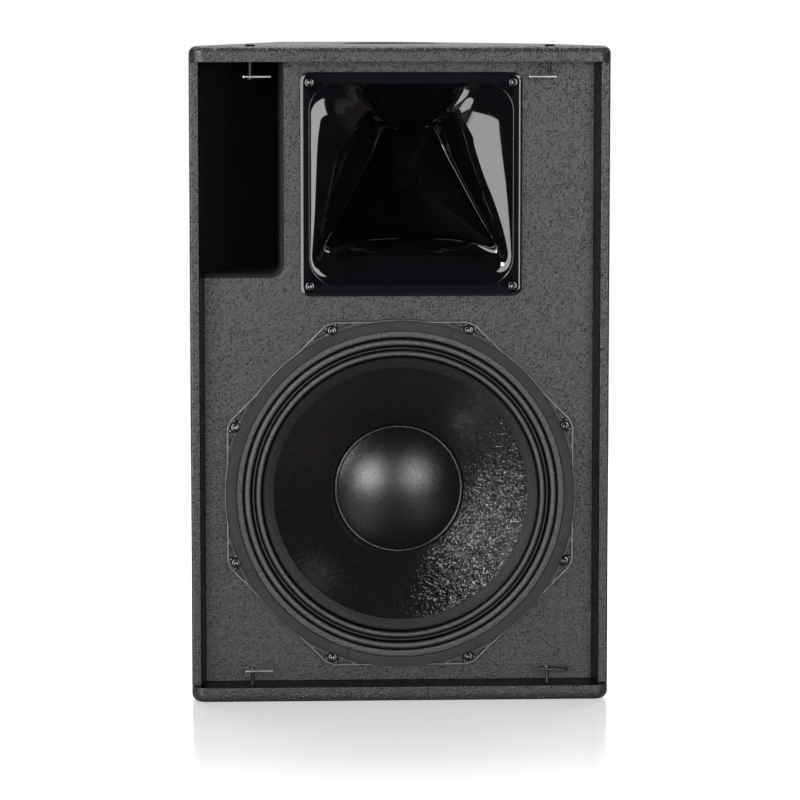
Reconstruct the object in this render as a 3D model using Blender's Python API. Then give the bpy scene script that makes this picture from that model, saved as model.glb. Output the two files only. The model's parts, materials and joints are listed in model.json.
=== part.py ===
"""Two-way 15-inch loudspeaker cabinet, one solid for each piece.

The cabinet stands on its bottom panel with the front facing -Y. Sizes below are
in millimetres, X to the right seen from the front, D the depth behind the front
edges of the top and bottom panels, and Z up from the floor.
"""

import math

import bmesh
import bpy
from mathutils import Matrix, Vector

for old in list(bpy.data.objects):
    bpy.data.objects.remove(old, do_unlink=True)

MM = 0.001

# ---- cabinet ----------------------------------------------------------------
WIDTH = 434.0
DEPTH = 368.0
HEIGHT = 680.0
HALF_W = WIDTH / 2
PLATE_T = 16.0  # top and bottom panel
GAP = 0.3  # between neighbouring pieces
WALL_FRONT = 14.0  # side walls start this far behind the panels' front edges
LEAN_START = 48.0  # the side walls lean inwards from here
LEAN = math.tan(math.radians(16.6))
BACK_LEFT_X = -HALF_W + (DEPTH - LEAN_START) * LEAN
BACK_RIGHT_X = 12.0  # where the flat back ends and the wedge face starts
WEDGE_D = 186.0
WEDGE_X = HALF_W - (WEDGE_D - LEAN_START) * LEAN
LIP_IN = 207.0  # inner edge of the side walls' front edges
BAFFLE_D = 40.0
BAFFLE_T = 18.0
BAFFLE_HALF = 202.4
FRONT_CORNER_R = 15.0
TOP_EDGE_R = 7.5
BOTTOM_EDGE_R = 6.0

# ---- port -------------------------------------------------------------------
PORT_RIGHT = -125.0
PORT_FLOOR_Z = 445.4
PORT_EDGE_R = 5.5
PORT_CORNER_R = 9.0
PORT_END_D = 190.0
PORT_T = 16.0

# ---- woofer -----------------------------------------------------------------
WOOFER_X = 1.0
WOOFER_Z = 214.0
FLANGE_D = 30.0  # front of the basket's flange
GASKET_D = 25.0
RING_R = 183.0
EAR_INRADIUS = 180.8
BOLT_R = 186.0
CUTOUT_R = 176.8

# ---- horn -------------------------------------------------------------------
HORN_X = 12.5
HORN_Z = 537.0
HORN_D = 34.0
HORN_HALF_W = 115.0
HORN_HALF_H = 116.0
MOUTH_HALF_W = 105.0
MOUTH_HALF_H = 104.0
MOUTH_R = 28.0
HORN_SCREW = 105.5
THROAT_R = 11.5
THROAT_DEPTH = 108.0

# ---- grille clamps ----------------------------------------------------------
STUD_X = 154.0
STUD_D = 18.0
STUD_R = 2.0
TAB_OFFSET = 14.0  # from the panel's inner face to the tab
TAB_T = 2.6
TAB_LONG = 21.6
TAB_SHORT = 8.0
TAB_HALF_W = 6.5


# ---- helpers ----------------------------------------------------------------
def world(x, d, z):
    return Vector((x * MM, (d - DEPTH / 2) * MM, z * MM))


def material(name, colour, roughness, metallic=0.0):
    made = bpy.data.materials.new(name)
    made.use_nodes = True
    shader = made.node_tree.nodes["Principled BSDF"]
    shader.inputs["Base Color"].default_value = (*colour, 1.0)
    shader.inputs["Roughness"].default_value = roughness
    shader.inputs["Metallic"].default_value = metallic
    made.diffuse_color = (*colour, 1.0)
    return made


PAINT = material("textured_paint", (0.030, 0.030, 0.033), 0.55)
PLY = material("plywood", (0.35, 0.23, 0.12), 0.7)
GLOSS = material("gloss_black_plastic", (0.006, 0.006, 0.008), 0.12)
CAST = material("cast_grey", (0.09, 0.09, 0.095), 0.45, 0.6)
FOAM = material("gasket_foam", (0.05, 0.048, 0.045), 0.9)
CLOTH = material("treated_cloth", (0.035, 0.035, 0.037), 0.45)
PAPER = material("black_paper", (0.012, 0.012, 0.013), 0.4)
COPPER = material("coil_copper", (0.5, 0.2, 0.08), 0.35, 1.0)
FERRITE = material("ferrite", (0.06, 0.06, 0.062), 0.6)
STEEL = material("zinc_steel", (0.6, 0.6, 0.6), 0.3, 1.0)
BLACK_STEEL = material("black_steel", (0.03, 0.03, 0.032), 0.35, 0.8)
BLACK_PLASTIC = material("matte_black_plastic", (0.02, 0.02, 0.021), 0.5)
BOARD = material("circuit_board", (0.02, 0.12, 0.05), 0.5)
LINING = material("grey_foam", (0.18, 0.18, 0.19), 0.95)


def finish(name, bm, mat, origin, sharp=35.0):
    """Puts a mesh given in world metres into an object whose origin is at origin."""
    bmesh.ops.recalc_face_normals(bm, faces=bm.faces)
    if bm.calc_volume(signed=True) < 0:
        bmesh.ops.reverse_faces(bm, faces=bm.faces)
    bmesh.ops.translate(bm, vec=-origin, verts=bm.verts)
    mesh = bpy.data.meshes.new(name)
    bm.to_mesh(mesh)
    bm.free()
    mesh.shade_smooth()
    mesh.set_sharp_from_angle(angle=math.radians(sharp))
    obj = bpy.data.objects.new(name, mesh)
    obj.location = origin
    bpy.context.scene.collection.objects.link(obj)
    if mat:
        mesh.materials.append(mat)
    return obj


def helper(obj):
    obj.hide_render = True
    obj.display_type = "WIRE"
    obj.hide_set(True)
    return obj


def boolean(obj, other, operation):
    modifier = obj.modifiers.new(operation.lower(), "BOOLEAN")
    modifier.operation = operation
    modifier.solver = "EXACT"
    modifier.object = other
    return obj


def cut(obj, *others):
    for other in others:
        boolean(obj, other, "DIFFERENCE")


def join(obj, *others):
    for other in others:
        boolean(obj, other, "UNION")


def rounded(points, radii, steps=4):
    """The polygon with each corner turned into an arc of its radius."""
    out = []
    count = len(points)
    for i, point in enumerate(points):
        radius = radii[i]
        p = Vector(point)
        a = Vector(points[i - 1]) - p
        b = Vector(points[(i + 1) % count]) - p
        if radius <= 0:
            out.append(tuple(p))
            continue
        a.normalize()
        b.normalize()
        half = a.angle(b) / 2
        reach = radius / math.tan(half)
        centre = p + (a + b).normalized() * (radius / math.sin(half))
        start = p + a * reach - centre
        end = p + b * reach - centre
        turn = start.angle_signed(end)
        for k in range(steps + 1):
            out.append(tuple(centre + Matrix.Rotation(-turn * k / steps, 2) @ start))
    return out


def box_points(x0, x1, y0, y1):
    return [(x0, y0), (x1, y0), (x1, y1), (x0, y1)]


def prism_mesh(points, low, high, place):
    """A bmesh of the polygon between low and high; place turns (u, v, w) into a world point."""
    bm = bmesh.new()
    bottom = [bm.verts.new(place(u, v, low)) for u, v in points]
    top = [bm.verts.new(place(u, v, high)) for u, v in points]
    count = len(points)
    bm.faces.new(bottom)
    bm.faces.new(top)
    for i in range(count):
        j = (i + 1) % count
        bm.faces.new((bottom[i], bottom[j], top[j], top[i]))
    bmesh.ops.recalc_face_normals(bm, faces=bm.faces)
    return bm


def in_plan(u, v, w):
    return world(u, v, w)


def facing_front(u, v, w):
    """u is X, v is Z, w is D."""
    return world(u, w, v)


def turned(name, profile, steps, centre, mat, place, sharp=35.0, origin=None):
    """A solid turned round the line at centre (u, v) along w. The profile is a closed loop of (radius, w); radius 0 lies on the axis."""
    bm = bmesh.new()
    rings = []
    for radius, w in profile:
        if radius < 1e-6:
            rings.append([bm.verts.new(place(centre[0], centre[1], w))])
            continue
        rings.append(
            [
                bm.verts.new(
                    place(
                        centre[0] + radius * math.cos(2 * math.pi * k / steps),
                        centre[1] + radius * math.sin(2 * math.pi * k / steps),
                        w,
                    )
                )
                for k in range(steps)
            ]
        )
    for i, ring in enumerate(rings):
        after = rings[(i + 1) % len(rings)]
        if len(ring) == 1 and len(after) == 1:
            continue
        for k in range(steps):
            j = (k + 1) % steps
            if len(ring) == 1:
                bm.faces.new((ring[0], after[j], after[k]))
            elif len(after) == 1:
                bm.faces.new((ring[k], ring[j], after[0]))
            else:
                bm.faces.new((ring[k], ring[j], after[j], after[k]))
    return finish(
        name, bm, mat, origin or place(centre[0], centre[1], profile[0][1]), sharp
    )


def prism(name, points, low, high, mat, place, origin=None, sharp=35.0):
    bm = prism_mesh(points, low, high, place)
    if origin is None:
        u = sum(p[0] for p in points) / len(points)
        v = sum(p[1] for p in points) / len(points)
        origin = place(u, v, (low + high) / 2)
    return finish(name, bm, mat, origin, sharp)


def rod(name, centre, radius, low, high, mat, place, steps=24):
    return turned(
        name,
        [(0, low), (radius, low), (radius, high), (0, high)],
        steps,
        centre,
        mat,
        place,
    )


def crossing(p, u, q, v):
    """Where the line through p along u meets the line through q along v."""
    cross = u[0] * v[1] - u[1] * v[0]
    t = ((q[0] - p[0]) * v[1] - (q[1] - p[1]) * v[0]) / cross
    return (p[0] + t * u[0], p[1] + t * u[1])


# ---- plan of the cabinet ----------------------------------------------------
BACK_LEFT = (BACK_LEFT_X, DEPTH)
BACK_RIGHT = (BACK_RIGHT_X, DEPTH)
WEDGE = (WEDGE_X, WEDGE_D)
LEFT_BEND = (-HALF_W, LEAN_START)
RIGHT_BEND = (HALF_W, LEAN_START)
wedge_run = Vector(WEDGE) - Vector(BACK_RIGHT)
wedge_run.normalize()
wedge_in = Vector((wedge_run.y, -wedge_run.x))
if wedge_in.x > 0:
    wedge_in = -wedge_in
INNER_BACK_D = DEPTH - PLATE_T
inner_back_left = (-BAFFLE_HALF + (INNER_BACK_D - BAFFLE_D) * LEAN, INNER_BACK_D)
wedge_inner_start = Vector(BACK_RIGHT) + wedge_in * PLATE_T
inner_back_right = crossing(
    (0, INNER_BACK_D), (1, 0), tuple(wedge_inner_start), tuple(wedge_run)
)
inner_wedge = crossing(
    (BAFFLE_HALF, BAFFLE_D), (-LEAN, 1), tuple(wedge_inner_start), tuple(wedge_run)
)

PLAN = [
    (-HALF_W, 0),
    (HALF_W, 0),
    RIGHT_BEND,
    WEDGE,
    BACK_RIGHT,
    BACK_LEFT,
    LEFT_BEND,
]
PLAN_RADII = [FRONT_CORNER_R, FRONT_CORNER_R, 0, 3.0, 3.0, 3.0, 0]


def plan_inset(by):
    """The cabinet's outline moved inwards, with its corner arcs shortened to match."""
    count = len(PLAN)
    lines = []
    for i in range(count):
        p, q = Vector(PLAN[i]), Vector(PLAN[(i + 1) % count])
        run = (q - p).normalized()
        lines.append((tuple(p + Vector((-run.y, run.x)) * by), tuple(run)))
    moved = []
    for i in range(count):
        (p, u), (q, v) = lines[i - 1], lines[i]
        moved.append(crossing(p, u, q, v))
    return rounded(moved, [max(r - by, 0.4) if r else 0 for r in PLAN_RADII], 4)


def edge_rounded_panel(name, low, high, round_high, radius):
    """A panel of the plan's outline whose outer edge is rounded on one face."""
    levels = [(0.0, low if round_high else high)]
    for k in range(4):
        a = math.radians(30 * k)
        inset = radius * (1 - math.cos(a))
        rise = radius * (1 - math.sin(a))
        levels.append((inset, high - rise if round_high else low + rise))
    bm = bmesh.new()
    rings = [
        [bm.verts.new(world(x, d, z)) for x, d in plan_inset(inset)]
        for inset, z in levels
    ]
    for ring, after in zip(rings, rings[1:]):
        for k in range(len(ring)):
            j = (k + 1) % len(ring)
            bm.faces.new((ring[k], ring[j], after[j], after[k]))
    bm.faces.new(rings[0])
    bm.faces.new(rings[-1])
    return finish(name, bm, PAINT, world(0, DEPTH / 2, (low + high) / 2))


# ---- cabinet panels ---------------------------------------------------------
bottom_panel = edge_rounded_panel("bottom_panel", 0, PLATE_T, False, BOTTOM_EDGE_R)
top_panel = edge_rounded_panel(
    "top_panel", HEIGHT - PLATE_T, HEIGHT, True, TOP_EDGE_R
)
WALL_LOW = PLATE_T + GAP
WALL_HIGH = HEIGHT - PLATE_T - GAP

left_side_panel = prism(
    "left_side_panel",
    [
        (-HALF_W, WALL_FRONT),
        LEFT_BEND,
        BACK_LEFT,
        inner_back_left,
        (-BAFFLE_HALF, BAFFLE_D),
        (-LIP_IN, WALL_FRONT),
    ],
    WALL_LOW,
    WALL_HIGH,
    PAINT,
    in_plan,
)
right_side_panel = prism(
    "right_side_panel",
    [
        (HALF_W, WALL_FRONT),
        RIGHT_BEND,
        WEDGE,
        inner_wedge,
        (BAFFLE_HALF, BAFFLE_D),
        (LIP_IN, WALL_FRONT),
    ],
    WALL_LOW,
    WALL_HIGH,
    PAINT,
    in_plan,
)
rear_panel = prism(
    "rear_panel",
    [
        (BACK_LEFT[0] + 0.4, BACK_LEFT[1]),
        (BACK_RIGHT[0] - 0.4, BACK_RIGHT[1]),
        (inner_back_right[0] - 0.4, inner_back_right[1]),
        (inner_back_left[0] + 0.4, inner_back_left[1]),
    ],
    WALL_LOW,
    WALL_HIGH,
    PAINT,
    in_plan,
)
wedge_panel = prism(
    "wedge_panel",
    [
        BACK_RIGHT,
        tuple(Vector(WEDGE) - wedge_run * 0.4),
        tuple(Vector(inner_wedge) - wedge_run * 0.4),
        inner_back_right,
    ],
    WALL_LOW,
    WALL_HIGH,
    PAINT,
    in_plan,
)

# ---- baffle -----------------------------------------------------------------
half = BAFFLE_HALF - GAP
baffle_outline = rounded(
    [
        (-half, WALL_LOW),
        (half, WALL_LOW),
        (half, WALL_HIGH),
        (PORT_RIGHT, WALL_HIGH),
        (PORT_RIGHT, PORT_FLOOR_Z),
        (-half, PORT_FLOOR_Z),
    ],
    [0, 0, 0, 0, PORT_CORNER_R, 0],
    4,
)
bm = prism_mesh(baffle_outline, BAFFLE_D, BAFFLE_D + BAFFLE_T, facing_front)
front_y = (BAFFLE_D - DEPTH / 2) * MM


def on_port_rim(v):
    x, z = v.co.x / MM, v.co.z / MM
    return (
        abs(v.co.y - front_y) < 1e-6
        and x < PORT_RIGHT + PORT_CORNER_R + 0.01
        and z > PORT_FLOOR_Z - 0.01
    )


port_rim = [e for e in bm.edges if all(on_port_rim(v) for v in e.verts)]
bmesh.ops.bevel(
    bm,
    geom=port_rim,
    offset=PORT_EDGE_R * MM,
    offset_type="OFFSET",
    segments=3,
    profile=0.5,
    affect="EDGES",
    clamp_overlap=True,
)
for v in bm.verts:
    if abs(v.co.x) > (half - 0.01) * MM:
        depth = v.co.y / MM + DEPTH / 2 - BAFFLE_D
        v.co.x = math.copysign((half - depth * LEAN) * MM, v.co.x)
front_baffle = finish(
    "front_baffle", bm, PAINT, world(0, BAFFLE_D + BAFFLE_T / 2, HEIGHT / 2)
)

# The port is a slot against the left wall and under the top panel. Its right wall leans with the cabinet's side.
PORT_START = BAFFLE_D + BAFFLE_T + GAP


def port_right(d):
    return PORT_RIGHT + (d - PORT_START) * LEAN


port_side_wall = prism(
    "port_side_wall",
    [
        (port_right(PORT_START), PORT_START),
        (port_right(PORT_START) + PORT_T, PORT_START),
        (port_right(PORT_END_D) + PORT_T, PORT_END_D),
        (port_right(PORT_END_D), PORT_END_D),
    ],
    PORT_FLOOR_Z + GAP,
    WALL_HIGH,
    PAINT,
    in_plan,
)


def left_inside(d):
    return -BAFFLE_HALF + (d - BAFFLE_D) * LEAN + GAP


port_floor = prism(
    "port_floor",
    [
        (left_inside(PORT_START), PORT_START),
        (port_right(PORT_START) + PORT_T, PORT_START),
        (port_right(PORT_END_D) + PORT_T, PORT_END_D),
        (left_inside(PORT_END_D), PORT_END_D),
    ],
    PORT_FLOOR_Z - PORT_T,
    PORT_FLOOR_Z,
    PAINT,
    in_plan,
)

# A shelf ties the walls together between the two drivers, with two large holes for the air.
BRACE_Z = 400.0
BRACE_T = 12.0


def inside_outline(front_d, gap):
    slope = gap + 0.1
    return [
        (-BAFFLE_HALF + (front_d - BAFFLE_D) * LEAN + slope, front_d),
        (BAFFLE_HALF - (front_d - BAFFLE_D) * LEAN - slope, front_d),
        (inner_wedge[0] - slope, inner_wedge[1] - slope),
        (inner_back_right[0] - slope, inner_back_right[1] - slope),
        (inner_back_left[0] + slope, inner_back_left[1] - slope),
    ]


internal_brace = prism(
    "internal_brace",
    inside_outline(PORT_START, GAP),
    BRACE_Z,
    BRACE_Z + BRACE_T,
    PLY,
    in_plan,
)
cut(
    internal_brace,
    helper(
        prism(
            "brace_hole_front",
            rounded(box_points(-135, 130, 95, 185), [25] * 4, 3),
            BRACE_Z - 5,
            BRACE_Z + BRACE_T + 5,
            None,
            in_plan,
        )
    ),
    helper(
        prism(
            "brace_hole_back",
            rounded(
                [(-105, 215), (85, 215), (5, 318), (-80, 318)], [15, 15, 15, 15], 3
            ),
            BRACE_Z - 5,
            BRACE_Z + BRACE_T + 5,
            None,
            in_plan,
        )
    ),
)

# ---- openings cut through the baffle ---------------------------------------
bolt_angles = [math.radians(22.5 + 45 * k) for k in range(8)]
bolts = [
    (WOOFER_X + BOLT_R * math.cos(a), WOOFER_Z + BOLT_R * math.sin(a))
    for a in bolt_angles
]
horn_screws = [
    (HORN_X - HORN_SCREW, HORN_Z + HORN_SCREW),
    (HORN_X + HORN_SCREW, HORN_Z + HORN_SCREW),
    (HORN_X - HORN_SCREW, HORN_Z - HORN_SCREW),
    (HORN_X + HORN_SCREW, HORN_Z - HORN_SCREW),
]
cut(
    front_baffle,
    helper(
        rod(
            "woofer_cutout",
            (WOOFER_X, WOOFER_Z),
            CUTOUT_R,
            BAFFLE_D - 5,
            BAFFLE_D + BAFFLE_T + 5,
            None,
            facing_front,
            48,
        )
    ),
    helper(
        prism(
            "horn_cutout",
            rounded(
                box_points(
                    HORN_X - MOUTH_HALF_W - 4.5,
                    HORN_X + MOUTH_HALF_W + 4.5,
                    HORN_Z - MOUTH_HALF_H - 4.5,
                    HORN_Z + MOUTH_HALF_H + 4.5,
                ),
                [30] * 4,
                4,
            ),
            BAFFLE_D - 5,
            BAFFLE_D + BAFFLE_T + 5,
            None,
            facing_front,
        )
    ),
)
for k, spot in enumerate(bolts):
    cut(
        front_baffle,
        helper(
            rod(
                f"bolt_hole_{k}",
                spot,
                3.4,
                BAFFLE_D - 3,
                BAFFLE_D + BAFFLE_T + 3,
                None,
                facing_front,
                10,
            )
        ),
    )
for k, spot in enumerate(horn_screws):
    cut(
        front_baffle,
        helper(
            rod(
                f"horn_hole_{k}",
                spot,
                2.6,
                BAFFLE_D - 3,
                BAFFLE_D + BAFFLE_T + 3,
                None,
                facing_front,
                10,
            )
        ),
    )


# ---- screws -----------------------------------------------------------------
def socket_screw(name, spot, head_d, seat_d, end_d, head_r, shank_r, socket_r):
    """A socket-head cap screw along D: head from head_d to seat_d, shank to end_d, and a hexagon socket."""
    screw = turned(
        name,
        [
            (0, head_d),
            (head_r, head_d),
            (head_r, seat_d),
            (shank_r, seat_d),
            (shank_r, end_d),
            (0, end_d),
        ],
        10,
        spot,
        BLACK_STEEL,
        facing_front,
    )
    depth = (seat_d - head_d) * 0.6
    cut(
        screw,
        helper(
            rod(
                name + "_socket",
                spot,
                socket_r,
                head_d - 1,
                head_d + depth,
                None,
                facing_front,
                6,
            )
        ),
    )
    return screw


for k, spot in enumerate(bolts):
    socket_screw(f"woofer_screw_{k + 1}", spot, 27.8, 33.4, 64.0, 4.4, 2.8, 2.4)
for k, spot in enumerate(horn_screws):
    socket_screw(f"horn_screw_{k + 1}", spot, 32.6, 36.7, 60.0, 4.6, 2.3, 2.3)

# ---- horn -------------------------------------------------------------------
SLOT_TOP = (24.0, 55.5, 80.0)  # half width, height above the axis, depth
SLOT_BOTTOM = (88.0, -62.0, 15.0)
SLOT_BOTTOM_MID = 46.0
MOUTH_TOP_HALF = 56.0
COUNTS = (4, 12, 8, 12)  # points on the top, right, bottom and left walls


def lerp(a, b, t):
    return tuple(x + (y - x) * t for x, y in zip(a, b))


def mouth_ring(half_w, half_h, radius, top_half):
    """Points round a rounded rectangle: the top wall, the right wall with its corner, the bottom wall and the left wall."""
    cx, cz = half_w - radius, half_h - radius

    def line(p, q, count):
        return [lerp(p, q, k / count) for k in range(count)]

    def arc(x, z, start, end, count):
        angles = [
            math.radians(start + (end - start) * k / count) for k in range(count)
        ]
        return [(x + radius * math.cos(a), z + radius * math.sin(a)) for a in angles]

    return (
        line((-top_half, half_h), (top_half, half_h), 4)
        + line((top_half, half_h), (cx, half_h), 2)
        + arc(cx, cz, 90, 0, 4)
        + line((half_w, cz), (half_w, -cz), 4)
        + arc(cx, -cz, 0, -45, 2)
        + arc(cx, -cz, -45, -90, 2)
        + line((cx, -half_h), (-cx, -half_h), 4)
        + arc(-cx, -cz, -90, -135, 2)
        + arc(-cx, -cz, -135, -180, 2)
        + line((-half_w, -cz), (-half_w, cz), 4)
        + arc(-cx, cz, 180, 90, 4)
        + line((-cx, half_h), (-top_half, half_h), 2)
    )


def shares(ring, first, count):
    """How far along its wall each of the ring's points lies, from 0 to 1."""
    points = [ring[(first + k) % len(ring)] for k in range(count + 1)]
    run = [0.0]
    for p, q in zip(points, points[1:]):
        run.append(run[-1] + math.dist(p, q))
    return [r / run[-1] for r in run[:-1]]


def slot_ring(mouth):
    """The slot between the throat chamber and the bell: narrow and deep at the top, wide and shallow at the bottom."""
    top_w, top_z, top_d = SLOT_TOP
    low_w, low_z, low_d = SLOT_BOTTOM
    ring = []
    for t in shares(mouth, 0, COUNTS[0]):
        ring.append((-top_w + 2 * top_w * t, top_z, top_d))
    for t in shares(mouth, COUNTS[0], COUNTS[1]):
        ring.append(lerp((top_w, top_z, top_d), (low_w, low_z, low_d), t))
    for t in shares(mouth, COUNTS[0] + COUNTS[1], COUNTS[2]):
        bulge = math.sin(math.pi * t)
        ring.append(
            (
                low_w - 2 * low_w * t,
                low_z + 3 * bulge,
                low_d + (SLOT_BOTTOM_MID - low_d) * bulge,
            )
        )
    for t in shares(mouth, sum(COUNTS[:3]), COUNTS[3]):
        ring.append(lerp((-low_w, low_z, low_d), (-top_w, top_z, top_d), t))
    return ring


mouth = mouth_ring(MOUTH_HALF_W, MOUTH_HALF_H, MOUTH_R, MOUTH_TOP_HALF)
slot = slot_ring(mouth)
bell = []
for share, flare in ((0.30, 0.08), (0.65, 0.28)):
    bell.append(
        [
            (m[0] + (s[0] - m[0]) * share, m[1] + (s[1] - m[1]) * share, s[2] * flare)
            for m, s in zip(mouth, slot)
        ]
    )
chamber = []
throat = []
for x, z, d in slot:
    length = math.hypot(x, z)
    ux, uz = x / length, z / length
    mid = THROAT_R + (length - THROAT_R) * 0.45
    chamber.append((ux * mid, uz * mid, d + (THROAT_DEPTH - d) * 0.62))
    throat.append((ux * THROAT_R, uz * THROAT_R, THROAT_DEPTH))


def thick(ring, grow, deeper):
    out = []
    for x, z, d in ring:
        length = math.hypot(x, z)
        share = (length + grow) / length
        out.append((x * share, z * share, d + deeper))
    return out


flat = [(x, z, 0.0) for x, z in mouth]
rim = mouth_ring(HORN_HALF_W, HORN_HALF_H, 9.0, MOUTH_TOP_HALF)
rim_in = mouth_ring(HORN_HALF_W - 1.5, HORN_HALF_H - 1.5, 7.5, MOUTH_TOP_HALF)
neck_in = mouth_ring(MOUTH_HALF_W + 3.5, MOUTH_HALF_H + 3.5, 29.0, MOUTH_TOP_HALF)
back_d = BAFFLE_D - GAP - HORN_D
rings = (
    [[(x, z, 1.5) for x, z in rim]]
    + [[(x, z, 0.0) for x, z in rim_in]]
    + [flat]
    + bell
    + [slot, chamber, throat]
    + [[(x, z, d + 6.0) for x, z, d in throat]]
    + [thick([(x, z, d + 6.0) for x, z, d in throat], 22.0, 0.0)]
    + [thick(throat, 22.0, -4.0)]
    + [thick(throat, 6.5, -4.5)]
    + [thick(chamber, 3.5, 2.5)]
    + [thick(slot, 4.5, 2.5)]
    + [thick(bell[1], 3.5, 3.5)]
    + [thick(bell[0], 2.5, 4.0)]
    + [[(x, z, back_d) for x, z in neck_in]]
    + [[(x, z, back_d) for x, z in rim]]
)
bm = bmesh.new()
made = [
    [bm.verts.new(world(HORN_X + x, HORN_D + d, HORN_Z + z)) for x, z, d in ring]
    for ring in rings
]
for i, ring in enumerate(made):
    after = made[(i + 1) % len(made)]
    for k in range(len(ring)):
        j = (k + 1) % len(ring)
        bm.faces.new((ring[k], ring[j], after[j], after[k]))
horn_flare = finish("horn_flare", bm, GLOSS, world(HORN_X, HORN_D, HORN_Z), 30.0)
for k, spot in enumerate(horn_screws):
    cut(
        horn_flare,
        helper(
            turned(
                f"horn_counterbore_{k}",
                [
                    (0, HORN_D - 2),
                    (5.2, HORN_D - 2),
                    (5.2, 37.0),
                    (2.6, 37.0),
                    (2.6, 44.0),
                    (0, 44.0),
                ],
                14,
                spot,
                None,
                facing_front,
            )
        ),
    )

# The compression driver bolts to the horn's throat flange.
driver_d = HORN_D + THROAT_DEPTH + 6.0 + GAP
turned(
    "compression_driver",
    [
        (THROAT_R, driver_d),
        (33.0, driver_d),
        (33.0, driver_d + 10),
        (58.0, driver_d + 12),
        (60.0, driver_d + 14),
        (60.0, driver_d + 42),
        (51.0, driver_d + 44),
        (48.0, driver_d + 67),
        (0, driver_d + 67),
        (0, driver_d + 18),
        (THROAT_R, driver_d + 16),
    ],
    24,
    (HORN_X, HORN_Z),
    BLACK_STEEL,
    facing_front,
)

# ---- woofer -----------------------------------------------------------------
AXIS = (WOOFER_X, WOOFER_Z)
BASKET_STEPS = 40
basket_profile = [
    (163.0, FLANGE_D),
    (RING_R, FLANGE_D),
    (RING_R, BAFFLE_D - GAP),
    (175.5, BAFFLE_D - GAP),
    (175.5, 52.0),
    (104.0, 112.0),
    (104.0, 126.0),
    (96.0, 134.0),
    (58.0, 134.0),
    (58.0, 129.0),
    (92.0, 129.0),
    (92.0, 116.0),
    (99.5, 116.0),
    (99.5, 110.0),
    (169.0, 50.5),
    (169.0, 37.0),
    (163.0, 37.0),
]


def flange_edge(a):
    """The flange is a ring with the corners of an octagon standing out of it as eight bolt ears."""
    off = (a + math.pi / 8) % (math.pi / 4) - math.pi / 8
    return max(RING_R, EAR_INRADIUS / math.cos(off))


bm = bmesh.new()
rings = []
for radius, w in basket_profile:
    ring = []
    for k in range(BASKET_STEPS):
        a = math.radians(4.5) + 2 * math.pi * k / BASKET_STEPS
        r = flange_edge(a) if radius == RING_R else radius
        ring.append(
            bm.verts.new(
                world(WOOFER_X + r * math.cos(a), w, WOOFER_Z + r * math.sin(a))
            )
        )
    rings.append(ring)
for i, ring in enumerate(rings):
    after = rings[(i + 1) % len(rings)]
    for k in range(BASKET_STEPS):
        j = (k + 1) % BASKET_STEPS
        bm.faces.new((ring[k], ring[j], after[j], after[k]))
woofer_basket = finish("woofer_basket", bm, CAST, world(WOOFER_X, FLANGE_D, WOOFER_Z))
for k, spot in enumerate(bolts):
    a = bolt_angles[k]
    cut(
        woofer_basket,
        helper(
            turned(
                f"ear_bore_{k}",
                [
                    (0, FLANGE_D - 3),
                    (5.6, FLANGE_D - 3),
                    (5.6, 33.7),
                    (3.4, 33.7),
                    (3.4, BAFFLE_D + 3),
                    (0, BAFFLE_D + 3),
                ],
                12,
                spot,
                None,
                facing_front,
            )
        ),
    )
    for side in (-1, 1):
        pocket = [(190.4, 6.6), (184.2, 6.6), (183.9, 14.0), (184.2, 22.0)]
        points = [
            (
                WOOFER_X + u * math.cos(a) - side * v * math.sin(a),
                WOOFER_Z + u * math.sin(a) + side * v * math.cos(a),
            )
            for u, v in pocket
        ]
        cut(
            woofer_basket,
            helper(
                prism(
                    f"ear_pocket_{k}_{side + 1}",
                    points,
                    FLANGE_D - 3,
                    34.5,
                    None,
                    facing_front,
                )
            ),
        )
# Four wide windows leave four double-width arms in the basket's cone.
for k in range(4):
    a0 = math.radians(45 + 90 * k)
    spread = math.radians(30)
    points = []
    for step in range(5):
        t = a0 - spread + 2 * spread * step / 4
        points.append(
            (WOOFER_X + 154 * math.cos(t), WOOFER_Z + 154 * math.sin(t))
        )
    for step in range(5):
        t = a0 + spread - 2 * spread * step / 4
        points.append(
            (WOOFER_X + 110 * math.cos(t), WOOFER_Z + 110 * math.sin(t))
        )
    cut(
        woofer_basket,
        helper(
            prism(f"basket_window_{k}", points, 54.0, 128.0, None, facing_front)
        ),
    )

turned(
    "woofer_gasket",
    [
        (171.3, GASKET_D),
        (181.2, GASKET_D),
        (181.2, FLANGE_D - GAP),
        (171.3, FLANGE_D - GAP),
    ],
    48,
    AXIS,
    FOAM,
    facing_front,
)
SURROUND = [
    (170.8, 28.9),
    (163.4, 28.9),
    (161.2, 26.0),
    (157.6, 26.0),
    (154.0, 30.4),
    (149.8, 26.0),
    (146.2, 26.0),
    (143.0, 30.6),
    (132.6, 35.2),
]
SKIN = 0.4


def sheet(line, half_thickness):
    """A closed loop round a line of (radius, w) points, given a thickness along w."""
    return [(r, w - half_thickness) for r, w in line] + [
        (r, w + half_thickness) for r, w in reversed(line)
    ]


turned(
    "woofer_surround", sheet(SURROUND, SKIN), 40, AXIS, CLOTH, facing_front, sharp=60
)
CONE_LINE = [
    (142.6, 32.6),
    (125.0, 40.2),
    (98.0, 54.6),
    (68.0, 76.0),
    (51.2, 92.0),
]
turned(
    "woofer_cone",
    [(r, w - 0.5) for r, w in CONE_LINE] + [(r, w + 0.7) for r, w in reversed(CONE_LINE)],
    40,
    AXIS,
    PAPER,
    facing_front,
)
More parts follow.
